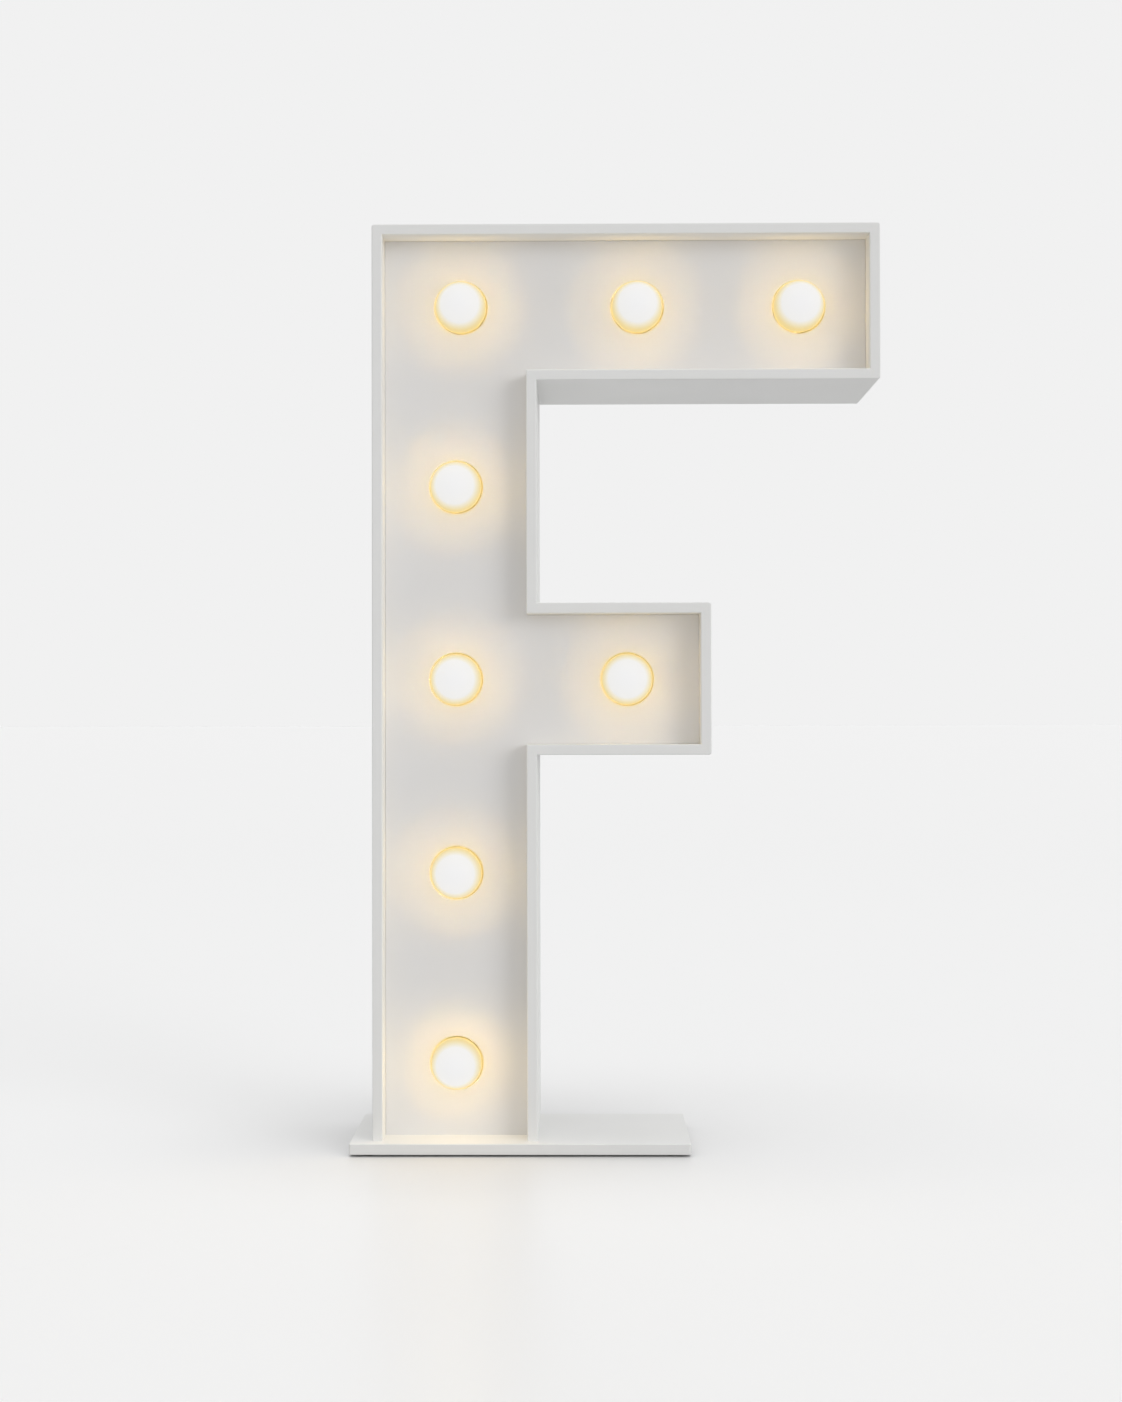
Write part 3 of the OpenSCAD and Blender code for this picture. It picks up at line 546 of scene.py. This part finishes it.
footShape = {"radius": 10 * mm, "sides": 64, "edgeRound": 0.4 * mm, "edgeSteps": 3, "dish": 0.3 * mm,
             "rim": 1.6 * mm}
footLow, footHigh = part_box("rubber_feet")
nothing()
bpy.ops.mesh.primitive_cylinder_add(
    vertices=footShape["sides"], radius=footShape["radius"], depth=footHigh.z - footLow.z,
    location=(footLow.x + footShape["radius"], footLow.y + footShape["radius"], (footLow.z + footHigh.z) / 2))
foot = settle(bpy.context.object)
begin(foot)
soften(lambda e: at(e, 2, footLow.z), footShape["edgeRound"], footShape["edgeSteps"])
pick("FACE", lambda f: looks(f, 2, -1))
bpy.ops.mesh.inset(thickness=footShape["rim"])
bpy.ops.transform.translate(value=(0, 0, footShape["dish"]))
only(foot)
acrossX = Vector((footHigh.x - footLow.x - 2 * footShape["radius"], 0, 0))
acrossY = Vector((0, footHigh.y - footLow.y - 2 * footShape["radius"], 0))
feet = joined([foot] + [copied(foot, shift) for shift in (acrossX, acrossY, acrossX + acrossY)])
finishPiece(feet, "rubber_foot_pads", "letter", "black_rubber", finish["rubber"], "rubber_feet")
print("base plate and feet made")


# Back cover, with vents and cut-outs

coverShape = {"ventW": 3.5 * mm, "ventL": 42 * mm, "ventPitch": 9 * mm, "ventCount": 6, "ventRound": 0.49,
              "ventSteps": 6, "edgeRound": 0.5 * mm, "edgeSteps": 2, "cutoutGap": 0.3 * mm,
              "bezelRim": 2 * mm, "block": 18 * mm, "screwHole": 2.05 * mm, "holeSides": 32,
              "past": 5 * mm, "reach": 10 * mm}  # of the cutters, past the cover and from its middle
coverLow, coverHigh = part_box("back_cover")
housingLow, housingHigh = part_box("switch_housing")
inletLow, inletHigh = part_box("inlet_body")
stemMid = (lines["left"] + lines["stemRight"]) / 2
coverMidY = (coverLow.y + coverHigh.y) / 2
ventLevels = [(lampPlaces[a][1] + lampPlaces[b][1]) / 2 for a, b in ((6, 4), (4, 3))]      # between lamps


def ventCutter(x, z):    # a cutter for one vent, with round ends
    half = Vector((coverShape["ventW"] / 2, coverShape["reach"], coverShape["ventL"] / 2))
    middleOf = Vector((x, coverMidY, z))
    cutter = addBlock(middleOf - half, middleOf + half)
    begin(cutter)
    soften(lambda e: runs(e, 1), coverShape["ventRound"] * coverShape["ventW"], coverShape["ventSteps"])
    only(cutter)
    return cutter


def window(low, high):   # a cutter for the body of a switch or an inlet behind its bezel
    margin = Vector((1, 0, 1)) * (coverShape["bezelRim"] - coverShape["cutoutGap"])
    return addBlock(Vector((low.x, coverLow.y - coverShape["past"], low.z)) + margin,
                    Vector((high.x, coverHigh.y + coverShape["past"], high.z)) - margin)


def screwPlaces():       # where the cover is screwed to the blocks and the foot block
    reach = lines["wall"] + coverShape["block"] / 2
    left, stem = lines["left"] + reach, lines["stemRight"] - reach
    arm, mid = lines["right"] - reach, lines["midRight"] - reach
    high, low = lines["top"] - reach, lines["topUnder"] + reach
    span = (lampPlaces[1][0] + lampPlaces[2][0]) / 2
    footLowBox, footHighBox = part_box("foot_block")
    footLevel = (footLowBox.z + footHighBox.z) / 2
    return [(left, high), (span, high), (arm, high), (arm, low), (span, low),
            (mid, lines["midTop"] - reach), (mid, lines["midUnder"] + reach),
            (left, ventLevels[0]), (left, ventLevels[1]),
            (stem, lines["midUnder"] - coverShape["block"]), (stem, lampPlaces[3][1]),
            (left, footLevel), (stem, footLevel)]


cover = letterSheet(coverLow.x - lines["left"], coverLow.y, coverLow.z)
bpy.ops.mesh.select_all(action="SELECT")
pull((0, coverHigh.y - coverLow.y, 0))
tidyFaces()
cutters = [window(housingLow, housingHigh), window(inletLow, inletHigh)]
cutters += [addRod((x, coverMidY, z), coverShape["screwHole"], 2 * coverShape["reach"],
                   coverShape["holeSides"]) for x, z in screwPlaces()]
firstVent = stemMid - (coverShape["ventCount"] - 1) / 2 * coverShape["ventPitch"]
for level in ventLevels:
    for i in range(coverShape["ventCount"]):
        cutters.append(ventCutter(firstVent + i * coverShape["ventPitch"], level))
cutAway(cover, cutters)
begin(cover)
tidyFaces()
soften(lambda e: sharp(e, least=60) and at(e, 1, coverHigh.y),
       coverShape["edgeRound"], coverShape["edgeSteps"])
finishPiece(cover, "lacquered_back_cover", "letter", "white_lacquer", finish["lacquer"], "back_cover")
print("back cover cut")


# Cover screws: one pan-head screw, copied to each place

screwShape = {"headR": 3.5 * mm, "headH": 2.2 * mm, "headSides": 40, "crown": 1.3 * mm, "crownSteps": 5,
              "shankR": 1.75 * mm, "shankL": 20 * mm, "crossL": 3.6 * mm, "crossW": 0.8 * mm,
              "crossD": 1.1 * mm, "crossTaper": (0.45, 1, 0.7), "turn": 37}      # degrees between two screws


def panScrew():
    headTop = coverHigh.y + screwShape["headH"]
    screw = addRod((0, coverHigh.y + screwShape["headH"] / 2, 0), screwShape["headR"], screwShape["headH"],
                   screwShape["headSides"])
    begin(screw)
    soften(lambda e: at(e, 1, headTop), screwShape["crown"], screwShape["crownSteps"])
    pick("FACE", lambda f: looks(f, 1, -1))
    bpy.ops.mesh.inset(thickness=screwShape["headR"] - screwShape["shankR"])
    pull((0, -screwShape["shankL"], 0))
    only(screw)
    arms = []
    for turn in (0, quarter):
        half = Vector((screwShape["crossL"] / 2, screwShape["crossD"], screwShape["crossW"] / 2))
        arm = addBlock(-half, half)
        begin(arm)
        pick("FACE", lambda f: looks(f, 1, -1))
        bpy.ops.transform.resize(value=screwShape["crossTaper"], center_override=(0, -half.y, 0))
        only(arm)
        arm.data.transform(Matrix.Translation((0, headTop, 0)) @ Matrix.Rotation(turn, 4, "Y"))
        arms.append(arm)
    cutAway(screw, arms)
    return screw


firstScrew = panScrew()
screws = [copied(firstScrew, (x, 0, z), math.radians(screwShape["turn"] * i))
          for i, (x, z) in enumerate(screwPlaces())]
bpy.data.objects.remove(firstScrew)
finishPiece(joined(screws), "cover_screw_set", "letter", "zinc_screw", finish["zinc"], "cover_screws")
print("cover screws set:", len(screws))


# Rocker switch and mains inlet

bezelShape = {"rim": 2 * mm, "thick": 2 * mm, "cornerRound": 2.4 * mm, "cornerSteps": 5,
              "edgeRound": 0.7 * mm, "edgeSteps": 3}


def bezelBody(low, high):            # a bezel with its body pulled out towards the front
    bezelBack = high.y - bezelShape["thick"]
    body = addBlock((low.x, bezelBack, low.z), high)
    begin(body)
    pick("FACE", lambda f: looks(f, 1, -1))
    bpy.ops.mesh.inset(thickness=bezelShape["rim"])
    pull((0, low.y - bezelBack, 0))
    soften(lambda e: runs(e, 1) and middle(e).y > bezelBack,
           bezelShape["cornerRound"], bezelShape["cornerSteps"])
    soften(lambda e: sharp(e) and at(e, 1, high.y), bezelShape["edgeRound"], bezelShape["edgeSteps"])
    tidyFaces()
    only(body)
    return body


rockerShape = {"width": 15 * mm, "radius": 11.2 * mm, "sides": 96, "gap": 0.5 * mm, "valley": 2.2 * mm,
               "low": 3 * mm, "pivotIn": 4 * mm, "pinR": 1.5 * mm, "pinL": 1.8 * mm, "pinSides": 32,
               "edgeRound": 0.45 * mm, "edgeSteps": 3, "tilt": 10}       # degrees
wellShape = {"past": 9 * mm, "cornerRound": 0.6 * mm, "cornerSteps": 3, "lipRound": 0.25 * mm, "lipSteps": 2}
markShape = {"reach": 5.9 * mm, "barW": 0.9 * mm, "barL": 4.6 * mm, "barRound": 0.2 * mm, "barSteps": 3,
             "ringR": 2.1 * mm, "ringSides": 48, "line": 0.45 * mm, "lineSides": 12, "proud": 0.12 * mm}
pivot = Vector(((housingLow.x + housingHigh.x) / 2, housingHigh.y - rockerShape["pivotIn"],
                (housingLow.z + housingHigh.z) / 2))
tilt = math.radians(rockerShape["tilt"])

housing = bezelBody(housingLow, housingHigh)
wellHalf = Vector((rockerShape["width"] / 2 + rockerShape["gap"], 0,
                   rockerShape["radius"] + rockerShape["gap"]))
well = addBlock(pivot - wellHalf - Vector((0, 2 * rockerShape["low"], 0)),
                pivot + wellHalf + Vector((0, wellShape["past"], 0)))
begin(well)
soften(lambda e: runs(e, 1), wellShape["cornerRound"], wellShape["cornerSteps"])
only(well)
cutAway(housing, [well])
begin(housing)
soften(lambda e: sharp(e, least=60) and at(e, 1, housingHigh.y),
       wellShape["lipRound"], wellShape["lipSteps"])
finishPiece(housing, "switch_frame", "letter", "black_plastic", finish["black"], "switch_housing")

nothing()
bpy.ops.mesh.primitive_cylinder_add(
    vertices=rockerShape["sides"], radius=rockerShape["radius"], depth=rockerShape["width"],
    rotation=(0, quarter, 0))
rocker = settle(bpy.context.object)
begin(rocker)
cutAlong((0, -rockerShape["low"], 0), (0, 1, 0), clear_inner=True, use_fill=True)
cutAlong((0, rockerShape["valley"], 0), (0, math.cos(tilt), -math.sin(tilt)), clear_outer=True, use_fill=True)
cutAlong((0, 0, 0), (0, 0, 1), clear_inner=True)
only(rocker)
half = rocker.modifiers.new("lowerHalf", "MIRROR")           # the lower half is the upper one mirrored
half.use_axis = (False, False, True)
half.merge_threshold = hair
bpy.ops.object.modifier_apply(modifier=half.name)
begin(rocker)
tidyFaces()
soften(sharp, rockerShape["edgeRound"], rockerShape["edgeSteps"])
nothing()
bpy.ops.mesh.primitive_cylinder_add(
    vertices=rockerShape["pinSides"], radius=rockerShape["pinR"],
    depth=rockerShape["width"] + 2 * rockerShape["pinL"], rotation=(0, quarter, 0))
cutAway(rocker, [settle(bpy.context.object)], "UNION")
rocker.location = pivot
rocker.rotation_euler = (tilt, 0, 0)
settle(rocker)
finishPiece(rocker, "rocker_key", "rocker", "rocker_plastic", finish["rocker"], "switch_rocker")


def placeMark(mark, end):            # lays a mark on the rocker's upper or lower half
    seat = rockerShape["valley"] + markShape["reach"] * math.tan(tilt)
    lay = Matrix.Translation((0, seat, end * markShape["reach"])) @ Matrix.Rotation(-end * tilt, 4, "X")
    mark.data.transform(Matrix.Translation(pivot) @ Matrix.Rotation(tilt, 4, "X") @ lay)


barHalf = Vector((markShape["barW"] / 2, markShape["proud"], markShape["barL"] / 2))
onMark = addBlock(-barHalf, barHalf)
begin(onMark)
soften(lambda e: runs(e, 1), markShape["barRound"], markShape["barSteps"])
only(onMark)
placeMark(onMark, 1)
finishPiece(onMark, "rocker_on_mark", "rocker", "rocker_plastic", finish["mark"])
nothing()
bpy.ops.mesh.primitive_torus_add(
    major_segments=markShape["ringSides"], minor_segments=markShape["lineSides"],
    major_radius=markShape["ringR"], minor_radius=markShape["line"], rotation=(quarter, 0, 0))
offMark = settle(bpy.context.object)
begin(offMark)
bpy.ops.mesh.select_all(action="SELECT")
bpy.ops.transform.resize(value=(1, markShape["proud"] / markShape["line"], 1), center_override=(0, 0, 0))
only(offMark)
placeMark(offMark, -1)
finishPiece(offMark, "rocker_off_mark", "rocker", "rocker_plastic", finish["mark"])
print("rocker switch made")

socketShape = {"width": 24.4 * mm, "height": 16.4 * mm, "depth": 17 * mm, "past": 5 * mm, "cut": 4.5 * mm,
               "cornerRound": 0.7 * mm, "cornerSteps": 3, "lipRound": 0.3 * mm, "lipSteps": 2}
bladeShape = {"width": 2 * mm, "height": 4 * mm, "pitch": 14 * mm, "rise": 4 * mm, "sink": 3 * mm,
              "tip": 0.6 * mm, "tagTip": 0.3 * mm, "tipSteps": 2, "tagL": 8 * mm, "tagPitch": 10 * mm}
inletMid = (inletLow + inletHigh) / 2
inlet = bezelBody(inletLow, inletHigh)
socketHalf = Vector((socketShape["width"] / 2, 0, socketShape["height"] / 2))
mouth = addBlock(Vector((inletMid.x, inletHigh.y - socketShape["depth"], inletMid.z)) - socketHalf,
                 Vector((inletMid.x, inletHigh.y + socketShape["past"], inletMid.z)) + socketHalf)
begin(mouth)
soften(lambda e: runs(e, 1) and middle(e).z > inletMid.z, socketShape["cut"], steps=1)
soften(lambda e: runs(e, 1) and sharp(e), socketShape["cornerRound"], socketShape["cornerSteps"])
only(mouth)
cutAway(inlet, [mouth])
begin(inlet)
soften(lambda e: sharp(e, least=60) and at(e, 1, inletHigh.y),
       socketShape["lipRound"], socketShape["lipSteps"])
finishPiece(inlet, "mains_socket", "letter", "black_plastic", finish["black"], "inlet_body")


def blade(x, z, backY, frontY):      # one flat blade, its ends rounded
    halfW, halfH = bladeShape["width"] / 2, bladeShape["height"] / 2
    bar = addBlock((x - halfW, frontY, z - halfH), (x + halfW, backY, z + halfH))
    begin(bar)
    soften(lambda e: at(e, 1, backY), bladeShape["tip"], bladeShape["tipSteps"])
    soften(lambda e: at(e, 1, frontY), bladeShape["tagTip"], bladeShape["tipSteps"])
    only(bar)
    return bar


bladeEnd = inletHigh.y - bladeShape["sink"]
inletTag = inletLow.y - bladeShape["tagL"]
switchTag = housingLow.y - bladeShape["tagL"]
lowRow = inletMid.z - bladeShape["rise"] / 2
blades = [blade(inletMid.x + side * bladeShape["pitch"] / 2, lowRow, bladeEnd, inletTag) for side in (-1, 1)]
blades.append(blade(inletMid.x, inletMid.z + bladeShape["rise"] / 2, bladeEnd, inletTag))
blades += [blade(pivot.x + side * bladeShape["tagPitch"] / 2, lowRow, housingLow.y, switchTag)
           for side in (-1, 1)]
finishPiece(joined(blades), "contact_blades", "letter", "nickel", finish["nickel"], "terminal_blades")
print("mains inlet made")


# Globe lamps: one globe and one neck, copied to each lamp

lampShape = {"wall": 1.2 * mm, "segments": 72, "rings": 48, "neckR": 12 * mm, "neckSides": 72,
             "lipRound": 0.7 * mm, "lipSteps": 4}
neckLow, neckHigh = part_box("bulb_collar_1")
globeMidY = globeLow.y + globeR


def opalGlobe():
    nothing()
    bpy.ops.mesh.primitive_uv_sphere_add(
        segments=lampShape["segments"], ring_count=lampShape["rings"], radius=globeR,
        location=(0, globeMidY, 0), rotation=(quarter, 0, 0))
    globe = settle(bpy.context.object)
    begin(globe)
    cutAlong((0, globeHigh.y, 0), (0, 1, 0), clear_outer=True)
    tidyFaces()
    only(globe)
    wall = globe.modifiers.new("wall", "SOLIDIFY")
    wall.thickness = lampShape["wall"]
    wall.offset = -1
    bpy.ops.object.modifier_apply(modifier=wall.name)
    return globe


def lampNeck():
    neck = addRod((0, (neckLow.y + neckHigh.y) / 2, 0), neckHigh.x - (neckLow.x + neckHigh.x) / 2,
                  neckHigh.y - neckLow.y, lampShape["neckSides"], lampShape["neckR"])
    begin(neck)
    soften(lambda e: at(e, 1, neckLow.y) or at(e, 1, neckHigh.y),
           lampShape["lipRound"], lampShape["lipSteps"])
    only(neck)
    return neck


firstGlobe = opalGlobe()
firstNeck = lampNeck()
for k, (x, z) in enumerate(lampPlaces, 1):
    finishPiece(copied(firstGlobe, (x, 0, z)), f"opal_globe_{k}", f"bulb_{k}", "lit_opal_globe",
                finish["globe"], f"bulb_globe_{k}")
    finishPiece(copied(firstNeck, (x, 0, z)), f"lamp_neck_{k}", f"bulb_{k}", "lamp_plastic",
                finish["neck"], f"bulb_collar_{k}")
bpy.data.objects.remove(firstGlobe)
bpy.data.objects.remove(firstNeck)
print("globe lamps made:", lampCount)


# Inner pieces keep their CAD shapes and get their finishes

innerFinish = {
    "spacer_blocks": "pine", "foot_block": "pine", "base_screws": "zinc", "cup_screws": "zinc",
    "lamp_cups": "enamel", "lampholders": "holder", "lampholder_nuts": "holder", "contact_shells": "brass",
    "spring_contacts": "brass", "lamp_cable": "cable", "bulb_cap": "nickel", "bulb_tip": "brass",
}
for name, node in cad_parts.items():
    kind = name.rstrip("0123456789").rstrip("_")
    if kind in innerFinish:
        node.data.materials.clear()
        node.data.materials.append(finish[innerFinish[kind]])
print("inner pieces finished")


# Pale studio: floor, world and suns

studio = {"floorSize": 240, "floorSeen": 0.930, "floorFar": 0.915, "fadeFrom": 1.0, "fadeTo": 9.0,
          "floorBounce": 0.55, "floorRough": 0.32, "floorSpecular": 0.50, "paintedShadeReach": 0.22,
          "paintedContactShade": 0.45, "paintedShadeSamples": 12, "backdrop": "#f1f1f1", "sky": 0.575}
suns = {                 # the spread in degrees, and the way to the light
    "overhead_key": {"strength": 0.95, "spread": 40, "comes": (0.05, -0.05, 1.00)},
    "front_fill": {"strength": 0.96, "spread": 35, "comes": (1.05, -1.00, 0.30)},
}


def seenRay(tree):       # 1 for what the camera sees, directly, in a reflection or through a piece
    path = addNode(tree, "LightPath")
    either = addNode(tree, "Math", {0: path.outputs["Is Camera Ray"], 1: path.outputs["Is Glossy Ray"]},
                     operation="MAXIMUM")
    return addNode(tree, "Math", {0: either.outputs[0], 1: path.outputs["Is Transmission Ray"]},
                   operation="MAXIMUM").outputs[0]


def grey(value):
    return (value, value, value, 1.0)


def paleFloor():
    # Satin white floor sheet: it takes the letter's soft shadow and a little of its reflection, and near the
    # letter its seen colour is darkened by ambient occlusion, a painted contact shadow
    material, tree, place = newMaterial("satin_white_floor_sheet")
    away = addNode(tree, "VectorMath", {0: place}, operation="LENGTH")
    seen = addNode(tree, "MapRange", {"Value": away.outputs["Value"], "From Min": studio["fadeFrom"],
                                      "From Max": studio["fadeTo"], "To Min": studio["floorSeen"],
                                      "To Max": studio["floorFar"]})
    # painted contact shadow: ambient occlusion near the letter darkens the floor's seen colour
    paintedOcclusion = addNode(tree, "AmbientOcclusion", {"Distance": studio["paintedShadeReach"]},
                    samples=studio["paintedShadeSamples"])
    paintedShadow = addNode(tree, "MapRange", {"Value": paintedOcclusion.outputs["AO"], "To Min": 1 - studio["paintedContactShade"]})
    seenWithPaintedShadow = addNode(tree, "Math", {0: seen.outputs[0], 1: paintedShadow.outputs[0]}, operation="MULTIPLY")
    tint = addNode(tree, "Mix", {0: seenRay(tree), 6: grey(studio["floorBounce"]), 7: seenWithPaintedShadow.outputs[0]},
                   data_type="RGBA")
    shader = addNode(tree, "BsdfPrincipled", {
        "Base Color": tint.outputs[2], "Roughness": studio["floorRough"],
        "Specular IOR Level": studio["floorSpecular"]})
    addNode(tree, "OutputMaterial", {"Surface": shader.outputs[0]})
    return material


nothing()
bpy.ops.mesh.primitive_plane_add(size=studio["floorSize"], location=(0, 0, cadBox[0][2]))
floor = settle(bpy.context.object)
floor.name = "studio_floor"
floor.data.materials.append(paleFloor())

world = bpy.data.worlds.new("pale_studio")
bpy.context.scene.world = world
world.use_nodes = True
world.node_tree.nodes.clear()
tint = addNode(world.node_tree, "Mix", {0: seenRay(world.node_tree), 6: grey(studio["sky"]),
                                        7: linear(studio["backdrop"])}, data_type="RGBA")
sky = addNode(world.node_tree, "Background", {"Color": tint.outputs[2]})
addNode(world.node_tree, "OutputWorld", {"Surface": sky.outputs[0]})

for name, light in suns.items():
    bpy.ops.object.light_add(type="SUN", location=light["comes"])
    sun = bpy.context.object
    sun.name = name
    sun.data.energy = light["strength"]
    sun.data.angle = math.radians(light["spread"])
    sun.rotation_euler = Vector(light["comes"]).to_track_quat("Z", "Y").to_euler()
    sun.visible_glossy = False                               # no glare on the floor in any view


# Light of the lit lamps on the letter round them

lampLight = {"lift": 20 * mm, "radius": 2 * mm, "spill": 0.042, "spillColour": (1.0, 0.70, 0.27),
             "halo": 13.4, "haloColour": (1.0, 0.60, 0.06), "haloSpread": 153, "haloBlend": 0.50}


def addLampLight(kind, name, x, z, power, colour):
    bpy.ops.object.light_add(type=kind, location=(x, panelLow.y - lampLight["lift"], z),
                             rotation=(quarter, 0, 0))       # a spot shines back on the panel
    light = bpy.context.object
    light.name = name
    light.data.energy = power
    light.data.color = colour
    light.data.shadow_soft_size = lampLight["radius"]
    light.visible_camera = False
    light.visible_glossy = False
    return light


lowestLamp = min(z for x, z in lampPlaces)                   # the one that lights the floor in front
for k, (x, z) in enumerate(lampPlaces, 1):
    for piece in (f"opal_globe_{k}", f"lamp_neck_{k}"):      # the lamp shines through, into its cup too
        bpy.data.objects[piece].visible_shadow = False
    spill = addLampLight("POINT" if z == lowestLamp else "SPOT", f"lamp_spill_{k}", x, z, lampLight["spill"],
                         lampLight["spillColour"])
    if z > lowestLamp:
        spill.data.spot_size = math.pi                       # back into the letter only
    halo = addLampLight("SPOT", f"lamp_halo_{k}", x, z, lampLight["halo"], lampLight["haloColour"])
    halo.data.spot_size = math.radians(lampLight["haloSpread"])
    halo.data.spot_blend = lampLight["haloBlend"]
    halo.data.use_nodes = True
    fade = addNode(halo.data.node_tree, "LightFalloff", {"Strength": 1.0})
    shine = halo.data.node_tree.nodes["Emission"]
    halo.data.node_tree.links.new(fade.outputs["Constant"], shine.inputs["Strength"])
print("lamps lit:", lampCount)


# Camera

shot = {"place": (-0.0311, -1.7278, 0.3721), "yaw": 0.54, "pitch": 0.56, "roll": -0.11,    # turns in degrees
        "focalPixels": 1940, "imageHeight": 1402, "sensor": 36}
yaw, pitch, roll = (math.radians(shot[turn]) for turn in ("yaw", "pitch", "roll"))
ahead = Vector((-math.sin(yaw) * math.cos(pitch), math.cos(yaw) * math.cos(pitch), math.sin(pitch)))
levelRight = ahead.cross(Vector((0, 0, 1))).normalized()
levelUp = levelRight.cross(ahead)
right = levelRight * math.cos(roll) + levelUp * math.sin(roll)
bpy.ops.object.camera_add()
camera = bpy.context.object
turned = Matrix((right, right.cross(ahead), -ahead)).transposed().to_4x4()
camera.matrix_world = Matrix.Translation(shot["place"]) @ turned
camera.data.sensor_width = shot["sensor"]
camera.data.lens = shot["focalPixels"] * camera.data.sensor_width / shot["imageHeight"]
bpy.context.scene.camera = camera
bpy.context.scene.view_settings.view_transform = "Standard"
print("studio set")
